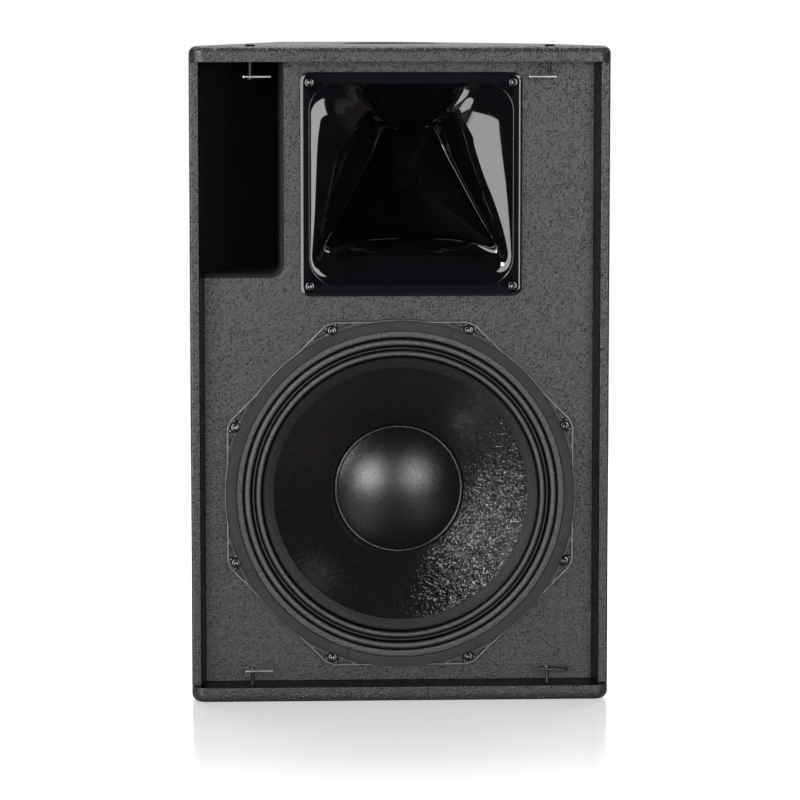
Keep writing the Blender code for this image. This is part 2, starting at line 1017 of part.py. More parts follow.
# The dust cap is a shallow dome glued to the cone's front.
cap = []
CAP_R, CAP_RISE, CAP_D = 68.0, 21.0, 74.2
sphere = (CAP_R**2 + CAP_RISE**2) / (2 * CAP_RISE)
for k in range(6):
    r = CAP_R * (1 - k / 5)
    cap.append((r, CAP_D - (math.sqrt(sphere**2 - r**2) - (sphere - CAP_RISE))))
turned(
    "dust_cap",
    cap + [(0.0, cap[-1][1] + 0.9)] + [(r, w + 0.9) for r, w in reversed(cap[1:-1])]
    + [(CAP_R - 0.8, CAP_D + 0.5)],
    32,
    AXIS,
    PAPER,
    facing_front,
)
turned(
    "voice_coil",
    [
        (49.6, 86.0),
        (50.7, 86.0),
        (50.7, 128.0),
        (51.6, 128.0),
        (51.6, 150.0),
        (49.6, 150.0),
    ],
    28,
    AXIS,
    COPPER,
    facing_front,
)
SPIDER = [
    (99.0, 115.2),
    (92.0, 115.2),
    (84.0, 112.4),
    (74.0, 116.6),
    (63.0, 112.4),
    (51.2, 115.0),
]
turned("spider", sheet(SPIDER, 0.35), 28, AXIS, CLOTH, facing_front, sharp=60)
turned(
    "motor_top_plate",
    [(52.6, 134.3), (95.0, 134.3), (95.0, 144.3), (52.6, 144.3)],
    28,
    AXIS,
    BLACK_STEEL,
    facing_front,
)
turned(
    "magnet",
    [(60.0, 144.6), (100.0, 144.6), (100.0, 166.0), (60.0, 166.0)],
    28,
    AXIS,
    FERRITE,
    facing_front,
)
turned(
    "yoke",
    [
        (14.0, 131.0),
        (48.6, 131.0),
        (48.6, 166.3),
        (97.0, 166.3),
        (97.0, 176.0),
        (94.0, 178.0),
        (14.0, 178.0),
    ],
    28,
    AXIS,
    BLACK_STEEL,
    facing_front,
)

# ---- grille clamps ----------------------------------------------------------
TOP_FACE = HEIGHT - PLATE_T
clamps = [
    ("top_left", -STUD_X, True, 1, 0.0),
    ("top_right", STUD_X, True, -1, 0.0),
    ("bottom_left", -STUD_X, False, 1, 0.0),
    ("bottom_right", STUD_X, False, -1, 158.0),
]
for name, x, at_top, inwards, turn in clamps:

    def level(h, at_top=at_top):
        """Height h from the panel's inner face."""
        return TOP_FACE - h if at_top else PLATE_T + h

    spot = (x, STUD_D)
    hole = rod(
        f"stud_hole_{name}", spot, 2.4, level(-9.0), level(3.0), None, in_plan, 12
    )
    if at_top:
        cut(top_panel, helper(hole))
    else:
        cut(bottom_panel, helper(hole))
    tab_near, tab_far = TAB_OFFSET, TAB_OFFSET + TAB_T
    turned(
        f"grille_stud_{name}",
        [
            (0, level(-8.5)),
            (STUD_R, level(-8.5)),
            (STUD_R, level(tab_far + GAP)),
            (3.4, level(tab_far + GAP)),
            (3.0, level(tab_far + 1.6)),
            (0, level(tab_far + 1.6)),
        ],
        10,
        spot,
        STEEL,
        in_plan,
    )
    ends = sorted((-inwards * TAB_SHORT, inwards * TAB_LONG))
    outline = rounded(
        box_points(ends[0], ends[1], -TAB_HALF_W, TAB_HALF_W), [1.5] * 4, 2
    )
    cosine, sine = math.cos(math.radians(turn)), math.sin(math.radians(turn))
    tab = prism(
        f"grille_tab_{name}",
        [
            (x + u * cosine - v * sine, STUD_D + u * sine + v * cosine)
            for u, v in outline
        ],
        min(level(tab_near), level(tab_far)),
        max(level(tab_near), level(tab_far)),
        STEEL,
        in_plan,
        origin=world(x, STUD_D, level((tab_near + tab_far) / 2)),
    )
    cut(
        tab,
        helper(
            rod(
                f"tab_hole_{name}",
                spot,
                STUD_R + 0.35,
                level(tab_near - 3),
                level(tab_far + 3),
                None,
                in_plan,
                12,
            )
        ),
    )

# ---- top panel fittings -----------------------------------------------------
CUP = (-2.0, 240.0)
CUP_R = 56.0
cut(
    top_panel,
    helper(
        rod("cup_hole", CUP, CUP_R + GAP + 0.1, TOP_FACE - 5, HEIGHT + 5, None, in_plan, 32)
    ),
)
turned(
    "top_suspension_cup",
    [
        (5.2, HEIGHT - 13),
        (50.0, HEIGHT - 13),
        (53.5, HEIGHT - 0.3),
        (CUP_R, HEIGHT - 0.3),
        (CUP_R, HEIGHT - 17.0),
        (14.0, HEIGHT - 17.0),
        (14.0, HEIGHT - 30.0),
        (5.2, HEIGHT - 30.0),
    ],
    32,
    CUP,
    BLACK_STEEL,
    in_plan,
)
# A black cap closes the hole above each of the two upper grille studs.
CAP_BOTTOM = HEIGHT - 5.3
for name, x in (("left", -STUD_X), ("right", STUD_X)):
    spot = (x, STUD_D)
    cut(
        top_panel,
        helper(
            rod(
                f"cap_hole_{name}",
                spot,
                5.0 + GAP,
                CAP_BOTTOM - GAP,
                HEIGHT + 3,
                None,
                in_plan,
                16,
            )
        ),
    )
    rod(
        f"stud_cap_{name}",
        spot,
        5.0,
        CAP_BOTTOM,
        HEIGHT - 0.3,
        BLACK_PLASTIC,
        in_plan,
        16,
    )

# ---- pole socket in the bottom panel ---------------------------------------
POLE = (0.0, 196.0)
cut(
    bottom_panel,
    helper(
        turned(
            "pole_hole",
            [
                (0, -3),
                (44.3, -3),
                (44.3, 4.6),
                (22.3, 4.6),
                (22.3, PLATE_T + 3),
                (0, PLATE_T + 3),
            ],
            24,
            POLE,
            None,
            in_plan,
        )
    ),
)
turned(
    "pole_socket",
    [
        (18.2, 1.0),
        (44.0, 1.0),
        (44.0, 4.3),
        (22.0, 4.3),
        (22.0, 84.0),
        (0, 84.0),
        (0, 80.0),
        (18.2, 80.0),
    ],
    24,
    POLE,
    BLACK_STEEL,
    in_plan,
)

# ---- input plate on the back -----------------------------------------------
PLATE_X = -55.0
PLATE_Z = 150.0
PLATE_W = 50.0  # half width
PLATE_H = 60.0  # half height
PLATE_D0, PLATE_D1 = 360.3, 362.3
cut(
    rear_panel,
    helper(
        prism(
            "plate_rebate",
            rounded(
                box_points(
                    PLATE_X - PLATE_W - GAP,
                    PLATE_X + PLATE_W + GAP,
                    PLATE_Z - PLATE_H - GAP,
                    PLATE_Z + PLATE_H + GAP,
                ),
                [4] * 4,
                2,
            ),
            360.0,
            DEPTH + 5,
            None,
            facing_front,
        )
    ),
    helper(
        prism(
            "plate_opening",
            rounded(
                box_points(
                    PLATE_X - PLATE_W + 12,
                    PLATE_X + PLATE_W - 12,
                    PLATE_Z - PLATE_H + 12,
                    PLATE_Z + PLATE_H - 12,
                ),
                [6] * 4,
                2,
            ),
            INNER_BACK_D - 5,
            363.0,
            None,
            facing_front,
        )
    ),
)
input_plate = prism(
    "input_plate",
    rounded(
        box_points(
            PLATE_X - PLATE_W, PLATE_X + PLATE_W, PLATE_Z - PLATE_H, PLATE_Z + PLATE_H
        ),
        [4] * 4,
        2,
    ),
    PLATE_D0,
    PLATE_D1,
    BLACK_STEEL,
    facing_front,
)
for k, dz in enumerate((22.0, -22.0)):
    spot = (PLATE_X, PLATE_Z + dz)
    cut(
        input_plate,
        helper(
            rod(
                f"socket_hole_{k}",
                spot,
                12.3,
                PLATE_D0 - 3,
                PLATE_D1 + 3,
                None,
                facing_front,
                20,
            )
        ),
    )
    socket = prism(
        f"speaker_socket_{k + 1}",
        rounded(
            box_points(spot[0] - 13, spot[0] + 13, spot[1] - 15.5, spot[1] + 15.5),
            [3] * 4,
            2,
        ),
        PLATE_D1 + GAP,
        PLATE_D1 + GAP + 2.4,
        BLACK_PLASTIC,
        facing_front,
        origin=facing_front(spot[0], spot[1], PLATE_D1),
    )
    join(
        socket,
        helper(
            rod(
                f"socket_body_{k}",
                spot,
                12.0,
                336.0,
                PLATE_D1 + GAP + 1.2,
                None,
                facing_front,
                20,
            )
        ),
    )
    cut(
        socket,
        helper(
            turned(
                f"socket_bore_{k}",
                [
                    (4.0, 346.0),
                    (10.2, 346.0),
                    (10.2, 370.0),
                    (4.0, 370.0),
                ],
                20,
                spot,
                None,
                facing_front,
            )
        ),
    )
    cut(
        socket,
        helper(
            rod(
                f"socket_core_end_{k}",
                spot,
                6.0,
                362.0,
                372.0,
                None,
                facing_front,
                12,
            )
        ),
    )
for k, (sx, sz) in enumerate(((-1, 1), (1, 1), (-1, -1), (1, -1))):
    spot = (PLATE_X + sx * (PLATE_W - 6), PLATE_Z + sz * (PLATE_H - 6))
    hole = helper(
        rod(f"plate_screw_hole_{k}", spot, 2.1, 350.0, 366.0, None, facing_front, 10)
    )
    cut(rear_panel, hole)
    cut(input_plate, hole)
    turned(
        f"input_plate_screw_{k + 1}",
        [
            (0, 354.0),
            (1.7, 354.0),
            (1.7, PLATE_D1 + GAP),
            (3.6, PLATE_D1 + GAP),
            (3.2, PLATE_D1 + GAP + 1.6),
            (1.4, PLATE_D1 + GAP + 2.2),
            (1.4, PLATE_D1 + GAP + 1.0),
            (0, PLATE_D1 + GAP + 1.0),
        ],
        10,
        spot,
        BLACK_STEEL,
        facing_front,
    )

# ---- crossover and damping --------------------------------------------------
crossover_board = prism(
    "crossover_board",
    box_points(-95.0, 15.0, 240.0, 325.0),
    24.0,
    26.0,
    BOARD,
    in_plan,
)
join(
    crossover_board,
    helper(
        turned(
            "coil_large",
            [(9.0, 25.0), (22.0, 25.0), (22.0, 48.0), (9.0, 48.0)],
            20,
            (-66.0, 268.0),
            None,
            in_plan,
        )
    ),
    helper(
        turned(
            "coil_small",
            [(7.0, 25.0), (15.0, 25.0), (15.0, 40.0), (7.0, 40.0)],
            20,
            (-66.0, 307.0),
            None,
            in_plan,
        )
    ),
    helper(
        prism("capacitor_a", box_points(-38, -8, 250, 268), 25, 46, None, in_plan)
    ),
    helper(
        prism("capacitor_b", box_points(-38, -8, 276, 290), 25, 42, None, in_plan)
    ),
    helper(
        prism("standoff_a", box_points(-92, -84, 243, 251), 16.4, 25, None, in_plan)
    ),
    helper(prism("standoff_b", box_points(4, 12, 243, 251), 16.4, 25, None, in_plan)),
    helper(
        prism("standoff_c", box_points(-92, -84, 314, 322), 16.4, 25, None, in_plan)
    ),
    helper(prism("standoff_d", box_points(4, 12, 314, 322), 16.4, 25, None, in_plan)),
)
prism(
    "damping_foam",
    [(-100.0, 330.0), (-5.0, 330.0), (-5.0, 351.6), (-107.0, 351.6)],
    425.0,
    645.0,
    LINING,
    in_plan,
)


# ---- recessed side handles --------------------------------------------------
HANDLE_Z = 340.0
HANDLE_DEPTH = 42.0


def side_handle(name, panel, d, side):
    """A moulded cup with a grip bar, let into a leaning side wall. side is -1 for left."""
    lean = math.atan(LEAN)
    along_wall = Vector((-side * math.sin(lean), math.cos(lean)))
    outwards = Vector((side * math.cos(lean), math.sin(lean)))
    centre = Vector((side * (HALF_W - (d - LEAN_START) * LEAN), d))

    def place(u, v, w):
        """u along the wall, v up from the cup's centre, w out of the wall."""
        p = centre + along_wall * u + outwards * w
        return world(p.x, p.y, HANDLE_Z + v)

    origin = place(0, 0, 0)
    handle = prism(
        name,
        rounded(box_points(-54, 54, -63, 63), [14] * 4, 3),
        GAP,
        2.6,
        BLACK_PLASTIC,
        place,
        origin=origin,
    )
    join(
        handle,
        helper(
            prism(
                name + "_cup",
                rounded(box_points(-46, 46, -55, 55), [10] * 4, 3),
                -HANDLE_DEPTH - 2.5,
                1.0,
                None,
                place,
            )
        ),
    )
    cut(
        handle,
        helper(
            prism(
                name + "_hollow",
                rounded(box_points(-43, 43, -52, 52), [8] * 4, 3),
                -HANDLE_DEPTH,
                6.0,
                None,
                place,
            )
        ),
    )

    def along_bar(u, v, w):
        """u out of the wall, v up, w along the wall."""
        return place(w, v, u)

    join(
        handle,
        helper(rod(name + "_bar", (-8.5, 24.0), 9.0, -44.5, 44.5, None, along_bar, 16)),
    )
    cut(
        panel,
        helper(
            prism(
                name + "_panel_hole",
                rounded(box_points(-46.4, 46.4, -55.4, 55.4), [10.4] * 4, 3),
                -30.0,
                8.0,
                None,
                place,
            )
        ),
    )
    return handle


side_handle("side_handle_left", left_side_panel, 185.0, -1)
side_handle("side_handle_right", right_side_panel, 128.0, 1)
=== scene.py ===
import json
import math

import bmesh
import bpy
import numpy as np
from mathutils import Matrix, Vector
from mathutils.geometry import tessellate_polygon


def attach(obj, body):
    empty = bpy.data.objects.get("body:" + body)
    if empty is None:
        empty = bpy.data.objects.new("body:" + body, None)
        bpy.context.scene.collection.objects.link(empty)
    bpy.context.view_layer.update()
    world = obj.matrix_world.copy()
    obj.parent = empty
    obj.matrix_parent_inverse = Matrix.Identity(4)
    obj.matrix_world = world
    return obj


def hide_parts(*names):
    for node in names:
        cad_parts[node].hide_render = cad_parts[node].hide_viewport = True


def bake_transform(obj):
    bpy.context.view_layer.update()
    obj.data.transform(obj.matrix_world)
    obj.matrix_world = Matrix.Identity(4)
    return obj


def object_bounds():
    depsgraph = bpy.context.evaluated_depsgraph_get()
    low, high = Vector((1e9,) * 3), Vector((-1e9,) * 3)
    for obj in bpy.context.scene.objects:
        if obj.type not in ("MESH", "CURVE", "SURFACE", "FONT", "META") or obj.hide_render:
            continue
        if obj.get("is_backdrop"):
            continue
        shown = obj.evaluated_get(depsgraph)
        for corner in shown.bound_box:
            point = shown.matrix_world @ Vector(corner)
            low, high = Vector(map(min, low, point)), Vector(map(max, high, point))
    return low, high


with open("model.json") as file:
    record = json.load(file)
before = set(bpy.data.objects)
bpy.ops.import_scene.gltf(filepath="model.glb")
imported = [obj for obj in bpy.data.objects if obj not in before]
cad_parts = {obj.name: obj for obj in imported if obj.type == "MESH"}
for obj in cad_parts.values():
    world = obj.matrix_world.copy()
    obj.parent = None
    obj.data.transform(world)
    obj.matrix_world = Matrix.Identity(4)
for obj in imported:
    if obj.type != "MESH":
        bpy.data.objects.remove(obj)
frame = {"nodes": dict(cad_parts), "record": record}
cad_lo, cad_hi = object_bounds()

# Sizes are in millimetres: x to the right seen from the front, d the depth behind
# the front edges of the top and bottom panels, z up from the floor.
MM = 0.001
DEPTH = 368.0
HEIGHT = 680.0
HALF_W = 217.0
PLATE_T = 16.0
GAP = 0.3
WALL_FRONT = 14.0
LEAN_START = 48.0
LEAN = math.tan(math.radians(16.6))
LIP_IN = 207.0
BAFFLE_D, BAFFLE_T, BAFFLE_HALF = 40.0, 18.0, 202.4
BACK_LEFT = (-HALF_W + (DEPTH - LEAN_START) * LEAN, DEPTH)
BACK_RIGHT = (12.0, DEPTH)
WEDGE = (HALF_W - (186.0 - LEAN_START) * LEAN, 186.0)
LEFT_BEND = (-HALF_W, LEAN_START)
RIGHT_BEND = (HALF_W, LEAN_START)
WALL_LOW = PLATE_T + GAP
WALL_HIGH = HEIGHT - PLATE_T - GAP
AXIS = (1.0, 214.0)  # woofer
HORN = (12.5, 537.0)
HORN_D = 34.0


# ---- materials --------------------------------------------------------------
class Graph:
    """A material's node tree with short calls for the nodes used here."""

    def __init__(self, name, colour, roughness, metallic=0.0):
        self.material = bpy.data.materials.new(name)
        self.material.use_nodes = True
        self.tree = self.material.node_tree
        self.shader = self.tree.nodes["Principled BSDF"]
        self.set("Base Color", (*colour, 1.0))
        self.set("Roughness", roughness)
        self.set("Metallic", metallic)
        self.material.diffuse_color = (*colour, 1.0)
        coords = self.tree.nodes.new("ShaderNodeTexCoord")
        self.coords = coords.outputs["Object"]

    def set(self, name, value):
        self.shader.inputs[name].default_value = value

    def node(self, kind, **values):
        made = self.tree.nodes.new(kind)
        for key, value in values.items():
            setattr(made, key, value)
        return made

    def link(self, a, b):
        self.tree.links.new(a, b)

    def moved(self, scale=(1, 1, 1), turn=(0, 0, 0)):
        mapping = self.node("ShaderNodeMapping")
        mapping.inputs["Scale"].default_value = scale
        mapping.inputs["Rotation"].default_value = turn
        self.link(self.coords, mapping.inputs["Vector"])
        return mapping.outputs["Vector"]

    def noise(self, scale, detail=2.0, rough=0.5, vector=None, distort=0.0):
        made = self.node("ShaderNodeTexNoise")
        made.inputs["Scale"].default_value = scale
        made.inputs["Detail"].default_value = detail
        made.inputs["Roughness"].default_value = rough
        made.inputs["Distortion"].default_value = distort
        self.link(vector or self.coords, made.inputs["Vector"])
        return made.outputs["Fac"]

    def cells(self, scale, feature="SMOOTH_F1", vector=None, smooth=0.6):
        made = self.node("ShaderNodeTexVoronoi", feature=feature)
        made.inputs["Scale"].default_value = scale
        if feature == "SMOOTH_F1":
            made.inputs["Smoothness"].default_value = smooth
        self.link(vector or self.coords, made.inputs["Vector"])
        return made.outputs["Distance"]

    def polar(self, turns, across, centre=None):
        """Coordinates that run round and across a ring about the woofer's axis, with no join."""
        centre = centre or AXIS
        parts = self.node("ShaderNodeSeparateXYZ")
        self.link(self.coords, parts.inputs[0])
        x = self.maths("SUBTRACT", parts.outputs[0], centre[0] * MM)
        z = self.maths("SUBTRACT", parts.outputs[2], centre[1] * MM)
        r = self.maths("SQRT", self.maths("ADD", self.maths("MULTIPLY", x, x), self.maths("MULTIPLY", z, z)))
        safe = self.maths("MAXIMUM", r, 1e-5)
        joined = self.node("ShaderNodeCombineXYZ")
        self.link(self.maths("MULTIPLY", self.maths("DIVIDE", x, safe), turns), joined.inputs[0])
        self.link(self.maths("MULTIPLY", self.maths("DIVIDE", z, safe), turns), joined.inputs[1])
        self.link(self.maths("MULTIPLY", r, across), joined.inputs[2])
        return joined.outputs[0]

    def tone(self):
        made = self.node("ShaderNodeAttribute", attribute_name="tone")
        return made.outputs["Fac"]

    def maths(self, operation, a, b=0.5, clamp=False):
        made = self.node("ShaderNodeMath", operation=operation, use_clamp=clamp)
        for value, socket in ((a, made.inputs[0]), (b, made.inputs[1])):
            if isinstance(value, (int, float)):
                socket.default_value = value
            else:
                self.link(value, socket)
        return made.outputs[0]

    def spread(self, value, low, high, to_low=0.0, to_high=1.0):
        made = self.node("ShaderNodeMapRange", clamp=True)
        for key, number in (
            ("From Min", low),
            ("From Max", high),
            ("To Min", to_low),
            ("To Max", to_high),
        ):
            made.inputs[key].default_value = number
        self.link(value, made.inputs["Value"])
        return made.outputs["Result"]

    def colour(self, factor, a, b):
        made = self.node("ShaderNodeMix", data_type="RGBA")
        self.link(factor, made.inputs["Factor"])
        made.inputs[6].default_value = (*a, 1.0)
        made.inputs[7].default_value = (*b, 1.0)
        self.link(made.outputs[2], self.shader.inputs["Base Color"])
        return made.outputs[2]

    def rough(self, value):
        self.link(value, self.shader.inputs["Roughness"])

    def bump(self, height, distance, strength=1.0, after=None, into="Normal"):
        made = self.node("ShaderNodeBump")
        made.inputs["Strength"].default_value = strength
        made.inputs["Distance"].default_value = distance
        self.link(height, made.inputs["Height"])
        if after is not None:
            self.link(after, made.inputs["Normal"])
        self.link(made.outputs["Normal"], self.shader.inputs[into])
        return made.outputs["Normal"]


def droplets(g, scale, chance, low, high, turn=(0.0, 0.0, 0.0), shift=(0.0, 0.0, 0.0)):
    """Separate round drops: one in some of the cells, from the middle outwards."""
    place = g.node("ShaderNodeMapping")
    place.inputs["Rotation"].default_value = turn
    place.inputs["Location"].default_value = shift
    g.link(g.coords, place.inputs["Vector"])
    cell = g.node("ShaderNodeTexVoronoi", feature="F1")
    cell.inputs["Scale"].default_value = scale
    g.link(place.outputs["Vector"], cell.inputs["Vector"])
    near = g.spread(cell.outputs["Distance"], low, high, 1.0, 0.0)
    parts = g.node("ShaderNodeSeparateColor")
    g.link(cell.outputs["Color"], parts.inputs[0])
    kept = g.spread(parts.outputs[0], chance - 0.05, chance + 0.25)
    dome = g.maths("MULTIPLY", near, g.maths("SUBTRACT", 2.0, near))
    return g.maths("MULTIPLY", dome, kept)


def paint(name="textured_paint", shade=1.0):
    """Sprayed structure paint: small hard drops over a fine grain, each with a painted highlight on its crown and a
    painted shadow at its foot.
    """
    g = Graph(name, (0.033 * shade, 0.033 * shade, 0.036 * shade), 0.3)
    drops = droplets(g, 310, 0.42, 0.08, 0.42)
    spots = droplets(g, 540, 0.40, 0.08, 0.44, (0.7, 0.4, 0.2))
    # painted highlight: a bright dot on each drop, a little off its middle towards the upper left
    painted_glint = droplets(g, 310, 0.42, 0.05, 0.34, shift=(0.0002, 0.0002, -0.0002))
    # painted shadow: a dark dot at each drop's foot, towards the lower right
    painted_drop_shadow = droplets(g, 310, 0.42, 0.10, 0.36, shift=(-0.0006, -0.0006, 0.0007))
    fine = g.noise(1300, 3.0, 0.65)
    big = g.noise(24, 2.0, 0.5)
    height = g.maths(
        "ADD",
        g.maths("MAXIMUM", drops, g.maths("MULTIPLY", spots, 0.5)),
        g.maths("MULTIPLY", fine, 0.22),
    )
    g.bump(height, 0.0011, 1.0)
    tone = g.maths("ADD", g.maths("MULTIPLY", fine, 0.30), g.maths("MULTIPLY", big, 0.12))
    tone = g.maths("ADD", tone, 0.20)
    # the painted highlights lighten the colour; the painted shadows darken it wherever there is no highlight
    tone = g.maths("ADD", tone, g.maths("MULTIPLY", painted_glint, 1.25))
    left = g.maths("SUBTRACT", 1.0, painted_glint)
    tone = g.maths("SUBTRACT", tone, g.maths("MULTIPLY", g.maths("MULTIPLY", painted_drop_shadow, left), 0.38))
    g.colour(
        g.spread(tone, 0.0, 1.6),
        (0.0030 * shade, 0.0030 * shade, 0.0033 * shade),
        (0.0760 * shade, 0.0760 * shade, 0.0830 * shade),
    )
    g.rough(g.spread(fine, 0.35, 0.65, 0.20, 0.34))
    g.set("Specular IOR Level", 0.55 * shade)
    return g.material


def near_black_matte(name, low, high, rough=0.7):
    """Near-black matte finish: inside the port, and as painted shade on the port's rounded rim, in the horn's throat
    passage and in the driver's bore.
    """
    g = Graph(name, low, rough)
    fine = g.noise(600, 3.0, 0.6)
    g.bump(fine, 0.0002, 0.4)
    g.colour(g.spread(g.noise(40, 3.0), 0.3, 0.7), low, high)
    g.rough(g.spread(fine, 0.3, 0.7, rough - 0.06, rough + 0.06))
    g.set("Specular IOR Level", 0.18)
    return g.material


def gloss(name="gloss_black_plastic", lift=1.0):
    g = Graph(name, (0.0015, 0.0015, 0.0022), 0.05)
    soft = g.noise(26, 2.0, 0.5)
    g.rough(g.spread(g.noise(300, 3.0, 0.6), 0.3, 0.7, 0.035, 0.07))
    g.bump(soft, 0.0005, 0.2)
    g.colour(
        g.spread(soft, 0.3, 0.7),
        (0.0011 * lift, 0.0011 * lift, 0.0017 * lift),
        (0.0018 * lift, 0.0018 * lift, 0.0026 * lift),
    )
    g.set("Specular IOR Level", 0.7)
    return g.material


def cast():
    g = Graph("cast_grey", (0.03, 0.03, 0.032), 0.36, 0.2)
    fine = g.noise(1100, 3.0, 0.6)
    g.bump(fine, 0.0001, 0.5)
    g.colour(g.spread(g.noise(60), 0.3, 0.7), (0.024, 0.024, 0.026), (0.036, 0.036, 0.039))
    g.rough(g.spread(fine, 0.3, 0.7, 0.30, 0.42))
    return g.material


def pocket():
    g = Graph("cast_pocket_shade", (0.006, 0.005, 0.0045), 0.6)
    fine = g.noise(700, 3.0, 0.6)
    g.bump(fine, 0.0002, 0.5)
    g.colour(g.spread(fine, 0.3, 0.7), (0.004, 0.0033, 0.0028), (0.009, 0.0072, 0.006))
    return g.material


def gasket():
    g = Graph("gasket_foam", (0.02, 0.0195, 0.019), 0.8)
    fine = g.noise(1300, 4.0, 0.7)
    patch = g.noise(1.0, 3.0, 0.55, vector=g.polar(3.2, 40))
    g.bump(fine, 0.00016, 0.6)
    g.colour(g.spread(patch, 0.32, 0.68), (0.0155, 0.0150, 0.0145), (0.0225, 0.0215, 0.0205))
    g.set("Specular IOR Level", 0.25)
    return g.material


def cloth(name, low, high, dark, weave=520.0, grain=0.0003, rough=(0.3, 0.48)):
    """Doped cloth: a fine weave under a rubbery coating, with painted shade in the valleys and painted highlight on the
    crests from the tone on the mesh; where it is painted shaded it also reflects less.
    """
    g = Graph(name, low, 0.42)
    thread = g.cells(weave, vector=g.coords, smooth=0.25)
    fine = g.noise(1500, 3.0, 0.7)
    speck = g.noise(900, 2.0, 0.6)
    height = g.maths("ADD", thread, g.maths("MULTIPLY", fine, 0.6))
    g.bump(height, grain, 0.8)
    made = g.node("ShaderNodeMix", data_type="RGBA")
    g.link(g.spread(speck, 0.35, 0.68), made.inputs["Factor"])
    made.inputs[6].default_value = (*low, 1.0)
    made.inputs[7].default_value = (*high, 1.0)
    # a low tone mixes in the dark colour: painted shade in the valleys
    final = g.node("ShaderNodeMix", data_type="RGBA")
    g.link(g.tone(), final.inputs["Factor"])
    final.inputs[6].default_value = (*dark, 1.0)
    g.link(made.outputs[2], final.inputs[7])
    g.link(final.outputs[2], g.shader.inputs["Base Color"])
    g.rough(g.spread(g.noise(240, 2.0, 0.6), 0.3, 0.7, rough[0], rough[1]))
    g.link(g.spread(g.tone(), 0.0, 1.0, 0.08, 0.5), g.shader.inputs["Specular IOR Level"])
    return g.material


def wet_paper():
    """Pressed paper with a glossy coating, which has dried in wrinkles that run round the cone and are deepest on one side."""
    g = Graph("black_paper", (0.003, 0.003, 0.0032), 0.25)
    wrinkle = g.noise(1.0, 2.0, 0.5, vector=g.polar(38, 420), distort=0.8)
    wide = g.noise(1.0, 1.0, 0.5, vector=g.polar(13, 120), distort=0.4)
    parts = g.node("ShaderNodeSeparateXYZ")
    g.link(g.coords, parts.inputs[0])
    x = g.maths("SUBTRACT", parts.outputs[0], AXIS[0] * MM)
    z = g.maths("SUBTRACT", parts.outputs[2], AXIS[1] * MM)
    # most of the coating's wrinkles are towards the lower right
    side = g.maths("SUBTRACT", g.maths("MULTIPLY", x, 0.92), g.maths("MULTIPLY", z, 0.40))
    deep = g.spread(g.maths("ADD", side, g.maths("MULTIPLY", wide, 0.03)), 0.045, 0.135, 0.10, 1.0)
    height = g.maths("ADD", wrinkle, g.maths("MULTIPLY", wide, 0.6))
    g.bump(g.maths("MULTIPLY", height, deep), 0.0020, 1.0)
    g.colour(g.spread(wrinkle, 0.35, 0.65), (0.0038, 0.0037, 0.0038), (0.0066, 0.0063, 0.0065))
    g.rough(g.spread(wide, 0.35, 0.65, 0.12, 0.20))
    g.set("Specular IOR Level", 0.5)
    return g.material


def cap_paper():
    g = Graph("dust_cap_paper", (0.004, 0.004, 0.0044), 0.34)
    grain = g.noise(1900, 3.0, 0.7)
    pits = g.cells(1100, smooth=0.3)
    height = g.maths("ADD", grain, g.maths("MULTIPLY", pits, 0.8))
    g.bump(height, 0.00010, 1.0)
    g.colour(g.spread(grain, 0.35, 0.65), (0.0010, 0.0010, 0.0012), (0.0044, 0.0044, 0.0050))
    g.rough(g.spread(pits, 0.2, 0.6, 0.22, 0.31))
    g.set("Specular IOR Level", 0.75)
    return g.material


def metal(name, low, high, rough_low, rough_high, scale=(900, 900, 60), metallic=1.0):
    g = Graph(name, low, rough_low, metallic)
    lines = g.noise(1.0, 3.0, 0.6, vector=g.moved(scale))
    g.bump(lines, 0.00004, 0.4)
    g.colour(g.spread(g.noise(120, 3.0), 0.3, 0.7), low, high)
    g.rough(g.spread(lines, 0.3, 0.7, rough_low, rough_high))
    return g.material


def moulded(name, low, high, rough_low=0.42, rough_high=0.6):
    g = Graph(name, low, rough_low)
    grain = g.cells(850, smooth=0.4)
    g.bump(grain, 0.00012, 0.5)
    g.colour(g.spread(g.noise(45, 3.0), 0.3, 0.7), low, high)
    g.rough(g.spread(g.noise(420, 3.0), 0.3, 0.7, rough_low, rough_high))
    return g.material


def wood():
    g = Graph("plywood", (0.40, 0.27, 0.15), 0.62)
    rings = g.noise(1.0, 4.0, 0.6, vector=g.moved((14, 90, 420)))
    g.bump(rings, 0.0002, 0.5)
    g.colour(g.spread(rings, 0.3, 0.7), (0.30, 0.19, 0.10), (0.50, 0.36, 0.21))
    return g.material


def foam():
    g = Graph("grey_foam", (0.17, 0.17, 0.18), 0.95)
    holes = g.cells(420, smooth=0.2)
    g.bump(holes, 0.0012, 0.9)
    g.colour(g.spread(holes, 0.1, 0.6), (0.08, 0.08, 0.085), (0.21, 0.21, 0.22))
    return g.material


def board():
    g = Graph("circuit_board", (0.02, 0.12, 0.05), 0.4)
    marks = g.cells(160, feature="F1")
    g.colour(g.spread(marks, 0.2, 0.5), (0.012, 0.08, 0.035), (0.025, 0.15, 0.06))
    g.bump(g.noise(500), 0.0001, 0.4)
    return g.material


PAINT = paint()
# darker copies of the paint, painted shade: for the ledges and for the walls' inner faces in the recess in front of the
# baffle
LEDGE_PAINTED_SHADE = paint("recess_floor_painted_shade", 0.10)
INNER_PAINTED_SHADE = paint("recess_side_painted_shade", 0.24)
GLOSS = gloss()
FLANGE = gloss("gloss_flange_plastic", 2.3)
CAST = cast()
POCKET = pocket()
# near-black for the port's inside faces, and painted shade on the port's rounded rim
INSIDE = near_black_matte("port_black_and_rim_painted_shade", (0.0026, 0.0026, 0.0028), (0.0042, 0.0042, 0.0044))
